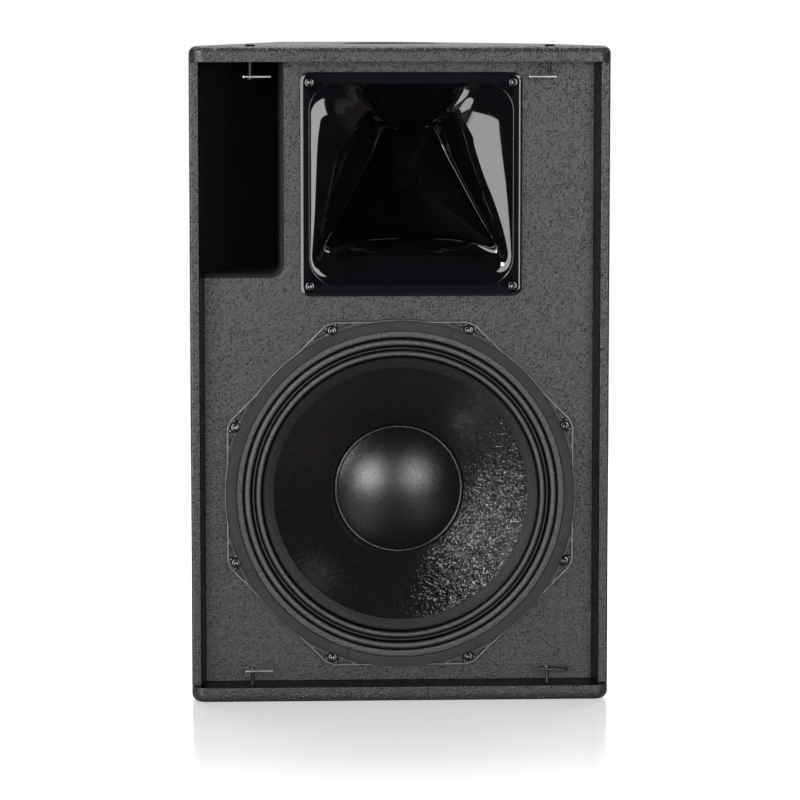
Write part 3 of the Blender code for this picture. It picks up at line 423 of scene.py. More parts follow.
# painted shade for the horn's throat passage and the driver's bore: near-black with almost no reflection
THROAT = near_black_matte("horn_throat_painted_shade", (0.0003, 0.0003, 0.0004), (0.0006, 0.0006, 0.0007), 0.6)
THROAT.node_tree.nodes["Principled BSDF"].inputs["Specular IOR Level"].default_value = 0.04
# painted highlight: a lighter, shinier metal for the crests of the basket's rims
RIM_PAINTED_HIGHLIGHT = metal("cast_rim_painted_highlight", (0.10, 0.10, 0.104), (0.15, 0.15, 0.155), 0.3, 0.4, metallic=0.5)
GASKET = gasket()
CLOTH = cloth(
    "treated_cloth", (0.020, 0.020, 0.021), (0.072, 0.072, 0.077), (0.0010, 0.0010, 0.0011)
)
BAND = cloth(
    "coated_cloth_band",
    (0.010, 0.010, 0.011),
    (0.055, 0.055, 0.058),
    (0.0012, 0.0012, 0.0013),
    430,
    0.0006,
)
SPIDER_CLOTH = cloth(
    "spider_cloth", (0.24, 0.16, 0.06), (0.34, 0.24, 0.11), (0.16, 0.10, 0.04), 700, 0.0004
)
PAPER = wet_paper()
CAP = cap_paper()
STEEL = metal("zinc_steel", (0.34, 0.34, 0.35), (0.50, 0.50, 0.52), 0.3, 0.46)
SCREW = metal("screw_steel", (0.05, 0.05, 0.053), (0.12, 0.12, 0.125), 0.12, 0.22, metallic=0.95)
STUD_STEEL = metal("stud_steel", (0.05, 0.047, 0.043), (0.15, 0.14, 0.13), 0.26, 0.4, metallic=0.9)
BLACK_STEEL = metal(
    "black_steel", (0.012, 0.012, 0.013), (0.022, 0.022, 0.024), 0.36, 0.5, metallic=0.4
)
COPPER = metal("coil_copper", (0.55, 0.22, 0.08), (0.70, 0.32, 0.13), 0.25, 0.35, (60, 2400, 60))
FERRITE = moulded("ferrite", (0.05, 0.05, 0.052), (0.075, 0.075, 0.078), 0.6, 0.75)
BLACK_PLASTIC = moulded(
    "matte_black_plastic", (0.009, 0.009, 0.010), (0.015, 0.015, 0.016)
)
CAP_PLASTIC = moulded("stud_cap_plastic", (0.002, 0.002, 0.0022), (0.004, 0.004, 0.0044), 0.85, 0.95)
CAP_PLASTIC.node_tree.nodes["Principled BSDF"].inputs["Specular IOR Level"].default_value = 0.05
PLY = wood()
LINING = foam()
BOARD = board()

SLOTS = {
    "textured_paint": PAINT,
    "plywood": PLY,
    "gloss_black_plastic": GLOSS,
    "cast_grey": CAST,
    "gasket_foam": GASKET,
    "treated_cloth": CLOTH,
    "black_paper": PAPER,
    "coil_copper": COPPER,
    "ferrite": FERRITE,
    "zinc_steel": STEEL,
    "black_steel": BLACK_STEEL,
    "matte_black_plastic": BLACK_PLASTIC,
    "circuit_board": BOARD,
    "grey_foam": LINING,
}
slot_of = {p["node"]: p["material_slot"] for p in frame["record"]["subparts"]}
for name, obj in frame["nodes"].items():
    chosen = SLOTS[slot_of[name]]
    if not obj.material_slots:
        obj.data.materials.append(chosen)
    for holder in obj.material_slots:
        holder.material = chosen
for name in ("port_floor", "port_side_wall"):
    for holder in frame["nodes"][name].material_slots:
        holder.material = INSIDE


# ---- mesh helpers -----------------------------------------------------------
def plan_place(u, v, w):
    """u is x, v is depth, w is height."""
    return (u * MM, (v - DEPTH / 2) * MM, w * MM)


def front_place(u, v, w):
    """u is x, v is height, w is depth."""
    return (u * MM, (w - DEPTH / 2) * MM, v * MM)


def settle(bm, name, mat, sharp=32.0, weighted=False):
    """Turns a bmesh in world metres into an object with outward faces."""
    bmesh.ops.remove_doubles(bm, verts=bm.verts, dist=1e-7)
    bmesh.ops.recalc_face_normals(bm, faces=bm.faces)
    if bm.calc_volume(signed=True) < 0:
        bmesh.ops.reverse_faces(bm, faces=bm.faces)
    mesh = bpy.data.meshes.new(name)
    bm.to_mesh(mesh)
    bm.free()
    mesh.shade_smooth()
    mesh.set_sharp_from_angle(angle=math.radians(sharp))
    obj = bpy.data.objects.new(name, mesh)
    bpy.context.scene.collection.objects.link(obj)
    if mat:
        mesh.materials.append(mat)
    if weighted:
        weigh(obj)
    return obj


def weigh(obj):
    modifier = obj.modifiers.new("weighted", "WEIGHTED_NORMAL")
    modifier.keep_sharp = True
    modifier.weight = 90
    return obj


def loft(rings, name, mat, around=True, closed=True, sharp=32.0, caps=False):
    """Joins rings of points, each a list of world points of one length, into a skin."""
    bm = bmesh.new()
    made = [[bm.verts.new(p) for p in ring] for ring in rings]
    pairs = list(zip(made, made[1:] + made[:1])) if closed else list(zip(made, made[1:]))
    for ring, after in pairs:
        count = len(ring)
        for k in range(count if around else count - 1):
            j = (k + 1) % count
            corners = []
            for v in (ring[k], ring[j], after[j], after[k]):
                if v not in corners:
                    corners.append(v)
            if len(corners) > 2:
                bm.faces.new(corners)
    if caps:
        bm.faces.new(made[0])
        bm.faces.new(made[-1])
    return settle(bm, name, mat, sharp)


def turned(name, profile, steps, centre, mat, place, sharp=32.0):
    """A solid turned about the line at centre along w, from a closed loop of (radius, w)."""
    bm = bmesh.new()
    rings = []
    angles = np.linspace(0, 2 * np.pi, steps, endpoint=False)
    for radius, w in profile:
        if radius < 1e-6:
            rings.append([bm.verts.new(place(centre[0], centre[1], w))])
            continue
        rings.append(
            [
                bm.verts.new(
                    place(
                        centre[0] + radius * math.cos(a),
                        centre[1] + radius * math.sin(a),
                        w,
                    )
                )
                for a in angles
            ]
        )
    for ring, after in zip(rings, rings[1:] + rings[:1]):
        if len(ring) == 1 and len(after) == 1:
            continue
        for k in range(steps):
            j = (k + 1) % steps
            if len(ring) == 1:
                bm.faces.new((ring[0], after[j], after[k]))
            elif len(after) == 1:
                bm.faces.new((ring[k], ring[j], after[0]))
            else:
                bm.faces.new((ring[k], ring[j], after[j], after[k]))
    return settle(bm, name, mat, sharp)


def rounded(points, radii, steps=6):
    """The closed polygon with each corner turned into an arc of its radius."""
    if isinstance(radii, (int, float)):
        radii = [radii] * len(points)
    out = []
    count = len(points)
    for i, point in enumerate(points):
        radius = radii[i]
        p = Vector(point)
        a = Vector(points[i - 1]) - p
        b = Vector(points[(i + 1) % count]) - p
        if radius <= 0 or a.length < 1e-9 or b.length < 1e-9:
            out.append((p.x, p.y))
            continue
        a.normalize()
        b.normalize()
        between = a.angle(b)
        if between > math.radians(178):
            out.append((p.x, p.y))
            continue
        half = between / 2
        reach = radius / math.tan(half)
        centre = p + (a + b).normalized() * (radius / math.sin(half))
        start = p + a * reach - centre
        end = p + b * reach - centre
        first = math.atan2(start.y, start.x)
        turn = math.atan2(end.y, end.x) - first
        turn = (turn + math.pi) % (2 * math.pi) - math.pi
        for k in range(steps + 1):
            angle = first + turn * k / steps
            out.append(
                (centre.x + radius * math.cos(angle), centre.y + radius * math.sin(angle))
            )
    return out


def circle(centre, radius, steps, phase=0.0):
    return [
        (
            centre[0] + radius * math.cos(phase + 2 * math.pi * k / steps),
            centre[1] + radius * math.sin(phase + 2 * math.pi * k / steps),
        )
        for k in range(steps)
    ]


def box_points(x0, x1, y0, y1):
    return [(x0, y0), (x1, y0), (x1, y1), (x0, y1)]


def area_of(loop):
    return 0.5 * sum(
        p[0] * q[1] - q[0] * p[1] for p, q in zip(loop, loop[1:] + loop[:1])
    )


def oriented(loop, anticlockwise):
    return loop if (area_of(loop) > 0) == anticlockwise else loop[::-1]


def shifted(loop, amounts):
    """Each edge of the loop moved to its left by its amount; edge i runs from point i to the next."""
    count = len(loop)
    lines = []
    for i in range(count):
        p, q = loop[i], loop[(i + 1) % count]
        dx, dy = q[0] - p[0], q[1] - p[1]
        length = math.hypot(dx, dy) or 1.0
        dx, dy = dx / length, dy / length
        lines.append((p[0] - dy * amounts[i], p[1] + dx * amounts[i], dx, dy))
    out = []
    for i in range(count):
        ax, ay, adx, ady = lines[i - 1]
        bx, by, bdx, bdy = lines[i]
        cross = adx * bdy - ady * bdx
        if abs(cross) < 1e-6:
            out.append((bx, by))
            continue
        t = ((bx - ax) * bdy - (by - ay) * bdx) / cross
        out.append((ax + t * adx, ay + t * ady))
    return out


def plate(
    name,
    outer,
    holes,
    low,
    high,
    place,
    mat,
    round_low=0.0,
    round_high=0.0,
    steps=4,
    edges=None,
    levels_of=None,
    sharp=32.0,
):
    """A flat piece with holes, whose edges on either face are rounded. edges gives each outer edge its share of the rounding. levels_of(inset) makes the outer loop itself."""
    outer = oriented(list(outer), True) if levels_of is None else None
    holes = [oriented(list(h), False) for h in holes]
    shares = edges or ([1.0] * len(outer) if outer else None)
    levels = []
    if round_low > 0:
        for k in range(steps + 1):
            a = math.pi / 2 * k / steps
            levels.append((round_low * (1 - math.sin(a)), low + round_low * (1 - math.cos(a))))
        levels = [(round_low * (1 - math.sin(a)), low + round_low * (1 - math.cos(a))) for a in [math.pi / 2 * k / steps for k in range(steps + 1)]]
    else:
        levels = [(0.0, low)]
    if round_high > 0:
        levels += [
            (round_high * (1 - math.cos(a)), high - round_high * (1 - math.sin(a)))
            for a in [math.pi / 2 * k / steps for k in range(steps + 1)]
        ]
    else:
        levels += [(0.0, high)]
    bm = bmesh.new()
    stacks = []
    if levels_of is None:
        stacks.append(
            [(shifted(outer, [inset * s for s in shares]), w) for inset, w in levels]
        )
    else:
        stacks.append([(levels_of(inset), w) for inset, w in levels])
    for hole in holes:
        stacks.append([(shifted(hole, [min(inset, 0.6)] * len(hole)), w) for inset, w in levels])
    rows = []
    for stack in stacks:
        made = [[bm.verts.new(place(u, v, w)) for u, v in loop] for loop, w in stack]
        rows.append(made)
        for ring, after in zip(made, made[1:]):
            count = len(ring)
            for k in range(count):
                j = (k + 1) % count
                bm.faces.new((ring[k], ring[j], after[j], after[k]))
    for end in (0, -1):
        loops = [[Vector((u, v, 0.0)) for u, v in stack[end][0]] for stack in stacks]
        verts = [v for made in rows for v in made[end]]
        for triangle in tessellate_polygon(loops):
            corners = [verts[i] for i in triangle]
            if len(set(corners)) == 3:
                try:
                    bm.faces.new(corners)
                except ValueError:
                    continue
    return settle(bm, name, mat, sharp, weighted=True)


def cutter(obj):
    obj.hide_render = True
    obj.display_type = "WIRE"
    return obj


def apply_booleans(obj, pairs):
    """pairs is a list of (operation, other); the result is written into the object's mesh."""
    kept = [m.type for m in obj.modifiers if m.type == "WEIGHTED_NORMAL"]
    obj.modifiers.clear()
    for operation, other in pairs:
        modifier = obj.modifiers.new("cut", "BOOLEAN")
        modifier.operation = operation
        modifier.solver = "EXACT"
        modifier.object = other
    bpy.context.view_layer.update()
    graph = bpy.context.evaluated_depsgraph_get()
    made = bpy.data.meshes.new_from_object(obj.evaluated_get(graph))
    obj.modifiers.clear()
    obj.data = made
    made.shade_smooth()
    made.set_sharp_from_angle(angle=math.radians(32))
    if kept:
        weigh(obj)
    for _, other in pairs:
        mesh = other.data
        bpy.data.objects.remove(other, do_unlink=True)
        bpy.data.meshes.remove(mesh)
    return obj


def put(obj, body, nodes, slot):
    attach(obj, body)
    if nodes:
        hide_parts(*([nodes] if isinstance(nodes, str) else nodes))
    return obj


def crossing(p, u, q, v):
    cross = u[0] * v[1] - u[1] * v[0]
    t = ((q[0] - p[0]) * v[1] - (q[1] - p[1]) * v[0]) / cross
    return (p[0] + t * u[0], p[1] + t * u[1])


# ---- plan of the cabinet ----------------------------------------------------
wedge_run = (Vector(WEDGE) - Vector(BACK_RIGHT)).normalized()
wedge_in = Vector((wedge_run.y, -wedge_run.x))
if wedge_in.x > 0:
    wedge_in = -wedge_in
INNER_BACK_D = DEPTH - PLATE_T
inner_back_left = (-BAFFLE_HALF + (INNER_BACK_D - BAFFLE_D) * LEAN, INNER_BACK_D)
wedge_start = Vector(BACK_RIGHT) + wedge_in * PLATE_T
inner_back_right = crossing(
    (0, INNER_BACK_D), (1, 0), tuple(wedge_start), tuple(wedge_run)
)
inner_wedge = crossing(
    (BAFFLE_HALF, BAFFLE_D), (-LEAN, 1), tuple(wedge_start), tuple(wedge_run)
)
PLAN = [(-HALF_W, 0), (HALF_W, 0), RIGHT_BEND, WEDGE, BACK_RIGHT, BACK_LEFT, LEFT_BEND]
PLAN_RADII = [15.0, 15.0, 40.0, 3.0, 3.0, 3.0, 40.0]


def plan_inset(by):
    count = len(PLAN)
    lines = []
    for i in range(count):
        p, q = Vector(PLAN[i]), Vector(PLAN[(i + 1) % count])
        run = (q - p).normalized()
        lines.append((tuple(p + Vector((-run.y, run.x)) * by), tuple(run)))
    moved = [
        crossing(lines[i - 1][0], lines[i - 1][1], lines[i][0], lines[i][1])
        for i in range(count)
    ]
    return rounded(moved, [max(r - by, 0.5) for r in PLAN_RADII], 8)


STUDS = [(-154.0, 18.0), (154.0, 18.0)]
CUP = (-2.0, 240.0)
CAPS = {"left": (-154.0, 18.0), "right": (154.0, 18.0)}
POLE = (0.0, 196.0)

top_panel = plate(
    "top_panel_painted",
    None,
    [],
    HEIGHT - PLATE_T,
    HEIGHT,
    plan_place,
    PAINT,
    round_low=0.6,
    round_high=7.5,
    steps=8,
    levels_of=plan_inset,
)
cuts = [
    ("DIFFERENCE", cutter(turned("t0", [(0, 655.0), (56.4, 655.0), (56.4, 679.2), (57.0, 680.2), (57.0, 690.0), (0, 690.0)], 96, CUP, None, plan_place)))
]
for spot in CAPS.values():
    cuts.append(
        ("DIFFERENCE", cutter(turned("t1", [(0, 660.0), (2.4, 660.0), (2.4, 673.0), (2.0, 674.4), (5.3, 674.4), (5.3, HEIGHT - 0.3), (5.6, HEIGHT + 0.1), (5.6, HEIGHT + 4), (0, HEIGHT + 4)], 32, spot, None, plan_place)))
    )
put(apply_booleans(top_panel, cuts), "cabinet", "top_panel", "textured_paint")

bottom_panel = plate(
    "bottom_panel_painted",
    None,
    [],
    0.0,
    PLATE_T,
    plan_place,
    PAINT,
    round_low=9.0,
    round_high=0.8,
    steps=8,
    levels_of=plan_inset,
)
cuts = [
    ("DIFFERENCE", cutter(turned("b0", [(0, -3), (44.3, -3), (44.3, 4.6), (22.3, 4.6), (22.3, 19), (0, 19)], 72, POLE, None, plan_place)))
]
for spot in STUDS:
    cuts.append(
        ("DIFFERENCE", cutter(turned("b1", [(0, 7.0), (2.4, 7.0), (2.4, 20.0), (0, 20.0)], 20, spot, None, plan_place)))
    )
put(apply_booleans(bottom_panel, cuts), "cabinet", "bottom_panel", "textured_paint")


# ---- side walls, back and wedge face ----------------------------------------
def wall(name, points, radii, node, handle=None):
    panel = plate(
        name,
        rounded(points, radii, 6),
        [],
        WALL_LOW,
        WALL_HIGH,
        plan_place,
        PAINT,
        round_low=0.5,
        round_high=0.5,
        steps=2,
    )
    if handle:
        d, side = handle
        place = wall_place(d, side)
        hole = plate(
            name + "_cut",
            rounded(box_points(-46.4, 46.4, -55.4, 55.4), 10.4, 6),
            [],
            -30.0,
            8.0,
            place,
            None,
        )
        hole.modifiers.clear()
        apply_booleans(panel, [("DIFFERENCE", cutter(hole))])
    return put(panel, "cabinet", node, "textured_paint")


def wall_place(d, side, height=340.0):
    lean = math.atan(LEAN)
    along = Vector((-side * math.sin(lean), math.cos(lean)))
    out = Vector((side * math.cos(lean), math.sin(lean)))
    centre = Vector((side * (HALF_W - (d - LEAN_START) * LEAN), d))

    def place(u, v, w):
        p = centre + along * u + out * w
        return plan_place(p.x, p.y, height + v)

    return place


for side, name, inner, back, handle_d in (
    (-1, "left", inner_back_left, BACK_LEFT, 185.0),
    (1, "right", inner_wedge, WEDGE, 128.0),
):
    wall(
        f"{name}_wall_painted",
        [
            (side * HALF_W, WALL_FRONT),
            (side * HALF_W, LEAN_START),
            back,
            inner,
            (side * BAFFLE_HALF, BAFFLE_D),
            (side * LIP_IN, WALL_FRONT),
        ],
        [2.6, 40.0, 1.6, 0, 0, 2.2],
        f"{name}_side_panel",
        (handle_d, side),
    )

PLATE_X, PLATE_Z = -55.0, 150.0
PLATE_SCREWS = [
    (PLATE_X + sx * 44.0, PLATE_Z + sz * 54.0)
    for sx, sz in ((-1, 1), (1, 1), (-1, -1), (1, -1))
]
rear = plate(
    "rear_panel_painted",
    rounded(
        [
            (BACK_LEFT[0] + 0.4, BACK_LEFT[1]),
            (BACK_RIGHT[0] - 0.4, BACK_RIGHT[1]),
            (inner_back_right[0] - 0.4, inner_back_right[1]),
            (inner_back_left[0] + 0.4, inner_back_left[1]),
        ],
        [1.2, 1.2, 0, 0],
        5,
    ),
    [],
    WALL_LOW,
    WALL_HIGH,
    plan_place,
    PAINT,
    round_low=0.5,
    round_high=0.5,
    steps=2,
)
cuts = []
for x, z, w0, w1, r in ((50.3, 60.3, 360.0, 373.0, 4), (38, 48, 347.0, 363.0, 6)):
    hole = plate(
        "r0",
        rounded(box_points(PLATE_X - x, PLATE_X + x, PLATE_Z - z, PLATE_Z + z), r, 4),
        [],
        w0,
        w1,
        front_place,
        None,
    )
    hole.modifiers.clear()
    cuts.append(("DIFFERENCE", cutter(hole)))
for spot in PLATE_SCREWS:
    cuts.append(
        ("DIFFERENCE", cutter(turned("r1", [(0, 350.0), (2.1, 350.0), (2.1, 366.0), (0, 366.0)], 16, spot, None, front_place)))
    )
put(apply_booleans(rear, cuts), "cabinet", "rear_panel", "textured_paint")
put(
    plate(
        "wedge_panel_painted",
        rounded(
            [
                BACK_RIGHT,
                tuple(Vector(WEDGE) - wedge_run * 0.4),
                tuple(Vector(inner_wedge) - wedge_run * 0.4),
                inner_back_right,
            ],
            [1.2, 1.2, 0, 0],
            5,
        ),
        [],
        WALL_LOW,
        WALL_HIGH,
        plan_place,
        PAINT,
        round_low=0.5,
        round_high=0.5,
        steps=2,
    ),
    "cabinet",
    "wedge_panel",
    "textured_paint",
)

# ---- baffle with the port's rounded rim ------------------------------------
PORT_RIGHT, PORT_FLOOR = -125.0, 445.4
half = BAFFLE_HALF - GAP
corner = [
    (PORT_RIGHT - 9.0 + 9.0 * math.cos(a), PORT_FLOOR + 9.0 + 9.0 * math.sin(a))
    for a in np.radians(np.linspace(0, -90, 13))
]
outline = (
    [(-half, WALL_LOW), (half, WALL_LOW), (half, WALL_HIGH), (PORT_RIGHT, WALL_HIGH)]
    + corner
    + [(-half, PORT_FLOOR)]
)
count = len(outline)
shares = [0.0] * count
for i in range(3, count - 1):
    shares[i] = 1.0
BOLTS = [
    (AXIS[0] + 186.0 * math.cos(a), AXIS[1] + 186.0 * math.sin(a))
    for a in np.radians(22.5 + 45 * np.arange(8))
]
HORN_SCREWS = [
    (HORN[0] + sx * 105.5, HORN[1] + sz * 105.5)
    for sx, sz in ((-1, 1), (1, 1), (-1, -1), (1, -1))
]
levels = [
    (5.5 * (1 - math.sin(a)), BAFFLE_D + 5.5 * (1 - math.cos(a)))
    for a in np.radians(np.linspace(0, 90, 9))
] + [(0.0, BAFFLE_D + BAFFLE_T)]
holes = (
    [circle(AXIS, 176.8, 128)]
    + [
        rounded(
            box_points(HORN[0] - 109.5, HORN[0] + 109.5, HORN[1] - 108.5, HORN[1] + 108.5),
            30,
            8,
        )
    ]
    + [circle(spot, 3.4, 12) for spot in BOLTS]
    + [circle(spot, 2.6, 12) for spot in HORN_SCREWS]
)
holes = [oriented(h, False) for h in holes]
bm = bmesh.new()


def leaning(u, d):
    """The baffle's side edges lean with the walls."""
    if abs(u) > half - 0.01:
        return math.copysign(half - (d - BAFFLE_D) * LEAN, u)
    return u


rows = []
made = []
for inset, d in levels:
    loop = shifted(outline, [inset * s for s in shares])
    made.append([bm.verts.new(front_place(leaning(u, d), v, d)) for u, v in loop])
rows.append((made[0], made[-1], [shifted(outline, [levels[0][0] * s for s in shares]), outline]))
for ring, after in zip(made, made[1:]):
    for k in range(count):
        j = (k + 1) % count
        bm.faces.new((ring[k], ring[j], after[j], after[k]))
for hole in holes:
    first = [bm.verts.new(front_place(u, v, BAFFLE_D)) for u, v in hole]
    last = [bm.verts.new(front_place(u, v, BAFFLE_D + BAFFLE_T)) for u, v in hole]
    rows.append((first, last, [hole, hole]))
    for k in range(len(hole)):
        j = (k + 1) % len(hole)
        bm.faces.new((first[k], first[j], last[j], last[k]))
for end in (0, 1):
    loops = [[Vector((u, v, 0.0)) for u, v in row[2][end]] for row in rows]
    verts = [v for row in rows for v in row[end]]
    for triangle in tessellate_polygon(loops):
        corners = [verts[i] for i in triangle]
        if len(set(corners)) == 3:
            bm.faces.new(corners)
put(
    settle(bm, "front_baffle_painted", PAINT, weighted=True),
    "cabinet",
    "front_baffle",
    "textured_paint",
)



def darken(obj, chosen, mat=INSIDE):
    """Gives the chosen faces, by depth and normal, a second, darker material: near-black inside the port, and painted
    shade on the port's rim, the ledges and the driver's bore.
    """
    obj.data.materials.append(mat)
    for face in obj.data.polygons:
        mid = face.center
        if chosen(mid[0] / MM, mid[1] / MM + DEPTH / 2, mid[2] / MM, face.normal):
            face.material_index = 1


# near-black on the port's inside faces; on the rounding of the baffle's rim round the port it is painted shade
darken(
    bpy.data.objects["front_baffle_painted"],
    lambda x, d, z, n: d > 40.03 and z > PORT_FLOOR - 8 and x < PORT_RIGHT + 8,
)
darken(
    bpy.data.objects["left_wall_painted"],
    lambda x, d, z, n: d > BAFFLE_D + 2 and n[0] > 0.5,
)
# the panels' faces that form the ledges in front of the baffle get a much darker copy of the paint, painted shade
darken(bpy.data.objects["bottom_panel_painted"], lambda x, d, z, n: n[2] > 0.9, LEDGE_PAINTED_SHADE)
darken(bpy.data.objects["top_panel_painted"], lambda x, d, z, n: n[2] < -0.9, LEDGE_PAINTED_SHADE)
# the walls' inner faces in front of the baffle get a darker copy of the paint, painted shade
for side in ("left", "right"):
    wall_obj = bpy.data.objects[f"{side}_wall_painted"]
    wall_obj.data.materials.append(INNER_PAINTED_SHADE)
    inward = 1.0 if side == "left" else -1.0
    for face in wall_obj.data.polygons:
        if face.center[1] / MM + DEPTH / 2 < BAFFLE_D + 1 and face.normal[0] * inward > 0.5:
            face.material_index = len(wall_obj.data.materials) - 1
# ---- horn -------------------------------------------------------------------
MOUTH_W, MOUTH_H, MOUTH_R = 105.0, 104.0, 28.0
TOP_HALF = 56.0
THROAT_R, THROAT_DEPTH = 11.5, 108.0
COLUMNS = (24, 96, 48, 96)  # top wall, right wall, bottom wall, left wall


def arc_line(points, count):
    """count points evenly along a line of points, leaving out the last."""
    points = np.array(points, float)
    run = np.concatenate([[0], np.cumsum(np.linalg.norm(np.diff(points, axis=0), axis=1))])
    at = np.linspace(0, run[-1], count, endpoint=False)
    return np.stack([np.interp(at, run, points[:, i]) for i in range(points.shape[1])], 1)


def rectangle_walls(half_w, half_h, radius, top_half):
    """The four walls' stretches of a rounded rectangle, clockwise from the top left crease."""
    cx, cz = half_w - radius, half_h - radius

    def arc(x, z, start, end):
        a = np.radians(np.linspace(start, end, 25))
        return list(zip(x + radius * np.cos(a), z + radius * np.sin(a)))

    top = [(-top_half, half_h), (top_half, half_h)]
    right = (
        [(top_half, half_h)] + arc(cx, cz, 90, 0) + arc(cx, -cz, 0, -45)
    )
    bottom = arc(cx, -cz, -45, -90) + arc(-cx, -cz, -90, -135)
    left = [(-x, z) for x, z in reversed(right)]
    return np.concatenate(
        [arc_line(w, n) for w, n in zip((top, right, bottom, left), COLUMNS)]
    )


def smooth_line(points, samples):
    """A Catmull-Rom line through points, evenly sampled."""
    p = np.array(points, float)
    p = np.vstack([2 * p[0] - p[1], p, 2 * p[-1] - p[-2]])
    out = []
    for i in range(1, len(p) - 2):
        t = np.linspace(0, 1, 24, endpoint=False)[:, None]
        a, b, c, d = p[i - 1], p[i], p[i + 1], p[i + 2]
        out.append(
            0.5
            * (
                2 * b
                + (c - a) * t
                + (2 * a - 5 * b + 4 * c - d) * t**2
                + (3 * b - a - 3 * c + d) * t**3
            )
        )
    out = np.vstack(out + [p[-2][None]])
    return arc_line(out, samples)


# The slot between bell and throat chamber: the right edge, from the middle of the top round to the middle of the bottom.
slot_right = [
    (13.0, 54.5, 79.0),
    (20.0, 55.5, 78.0),
    (26.0, 51.0, 74.0),
    (36.0, 31.0, 60.0),
    (52.0, 2.0, 46.0),
    (70.0, -32.0, 30.0),
    (84.0, -56.0, 18.0),
    (87.5, -64.0, 15.0),
    (83.0, -66.5, 16.0),
]
slot_bottom = [
    (83.0, -66.5, 16.0),
    (66.0, -62.5, 26.0),
    (40.0, -59.5, 38.0),
    (0.0, -58.5, 44.0),
    (-40.0, -59.5, 38.0),
    (-66.0, -62.5, 26.0),
    (-83.0, -66.5, 16.0),
]
slot = np.concatenate(
    [
        arc_line([(-13.0, 54.5, 79.0), (0, 54.0, 80.0), (13.0, 54.5, 79.0)], COLUMNS[0]),
        smooth_line(slot_right, COLUMNS[1]),
        smooth_line(slot_bottom, COLUMNS[2]),
        smooth_line([(-x, z, d) for x, z, d in reversed(slot_right)], COLUMNS[3]),
    ]
)
total = sum(COLUMNS)


def flat_ring(half_w, half_h, radius, depth):
    made = rectangle_walls(half_w, half_h, radius, TOP_HALF)
    return np.column_stack([made, np.full(total, depth)])


def bell_depth(share, reach, deep):
    """The sides open out more and more quickly towards the mouth, and fall steeply to the slot. The top wall is flat."""
    flared = reach * (0.10 * share + curl * share**2)
    flared = flared + (deep - (0.10 + curl) * reach) * share**7
    return flared * (1 - flat_wall) + deep * share * flat_wall


def pick(t, stops):
    return float(np.interp(t, [a for a, _ in stops], [b for _, b in stops]))


# how hard each column of the bell curls, and how far it follows the flat top wall
right_curl = [(0, 0.16), (0.3, 0.19), (0.5, 0.30), (0.7, 0.55), (1, 0.9)]
left_curl = [(0, 0.16), (0.18, 0.30), (0.3, 0.62), (0.5, 0.8), (1, 0.9)]
curl, flat_wall = [], []
for k in range(COLUMNS[0]):
    curl.append(0.3)
    flat_wall.append(1.0)
for k in range(COLUMNS[1]):
    t = k / COLUMNS[1]
    curl.append(pick(t, right_curl))
    flat_wall.append(pick(t, [(0, 0.8), (0.015, 0.34), (0.05, 0.12), (0.12, 0.0)]))
for k in range(COLUMNS[2]):
    curl.append(pick(k / COLUMNS[2], [(0, 0.9), (0.15, 0.35), (0.85, 0.35), (1, 0.9)]))
    flat_wall.append(0.0)
for k in range(COLUMNS[3]):
    t = 1 - k / COLUMNS[3]
    curl.append(pick(t, left_curl))
    flat_wall.append(pick(t, [(0, 0.8), (0.015, 0.34), (0.05, 0.12), (0.12, 0.0)]))


def evened(values, width):
    """Each value averaged with its neighbours round the ring."""
    kernel = np.hanning(width + 2)[1:-1]
    padded = np.concatenate([values[-width:], values, values[:width]])
    return np.convolve(padded, kernel / kernel.sum(), mode="same")[width:-width]


curl = evened(np.array(curl), 41)[:, None]
flat_wall = np.array(flat_wall)
flat_wall = evened(flat_wall, 3)[:, None]
mouth = np.column_stack([rectangle_walls(MOUTH_W, MOUTH_H, MOUTH_R, TOP_HALF), np.full(total, 1.0)])
# the rounded bead along the slot's edge is broad at the top and thin below
bead = []
for k in range(COLUMNS[0]):
    bead.append(0.9)
side_bead = [(0, 0.9), (0.03, 4.0), (0.07, 9.5), (0.14, 7.4), (0.3, 3.8), (0.5, 2.4), (0.8, 2.6), (1, 1.6)]
for k in range(COLUMNS[1]):
    bead.append(pick(k / COLUMNS[1], side_bead))
for k in range(COLUMNS[2]):
    bead.append(pick(k / COLUMNS[2], [(0, 1.6), (0.08, 0.6), (0.5, 0.3), (0.92, 0.6), (1, 1.6)]))
for k in range(COLUMNS[3]):
    bead.append(pick(1 - k / COLUMNS[3], side_bead))
bead = np.array(bead)[:, None]
across = slot[:, :2] - mouth[:, :2]
reach = np.linalg.norm(across, axis=1, keepdims=True)
inwards = across / reach
rings = []
for in_by, deep_by in ((0.0, 2.2), (0.05, 1.3), (0.3, 0.85), (0.7, 0.66), (2.0, 0.3), (2.8, 0.08), (3.2, 0.02), (3.8, 0.0)):
    rings.append(flat_ring(115.0 - in_by, 116.0 - in_by, 9.0 - in_by * 0.6, deep_by))
rings.append(flat_ring(108.5, 108.5, 22.0, 0.0))
for a in np.radians(np.linspace(0, 80, 6)):
    rings.append(
        flat_ring(
            MOUTH_W + 1.1 - 1.0 * math.sin(a),
            MOUTH_H + 1.1 - 1.0 * math.sin(a),
            MOUTH_R + 1.0,
            0.95 * (1 - math.cos(a)),
        )
    )
foot = slot[:, :2] - inwards * bead
for share in np.linspace(0.0, 1.0, 44):
    depth = 1.0 * (1 - share) + bell_depth(share, reach, slot[:, 2:3])
    rings.append(np.column_stack([mouth[:, :2] + (foot - mouth[:, :2]) * share, depth]))
bell_rows = len(rings)
for u in np.linspace(0, 1, 12)[1:]:
    lift = 0.5 * bead * math.sin(math.pi * u) ** 0.8
    rings.append(np.column_stack([foot + inwards * bead * u, slot[:, 2:3] - lift]))
length = np.linalg.norm(slot[:, :2], axis=1, keepdims=True)
unit = slot[:, :2] / length
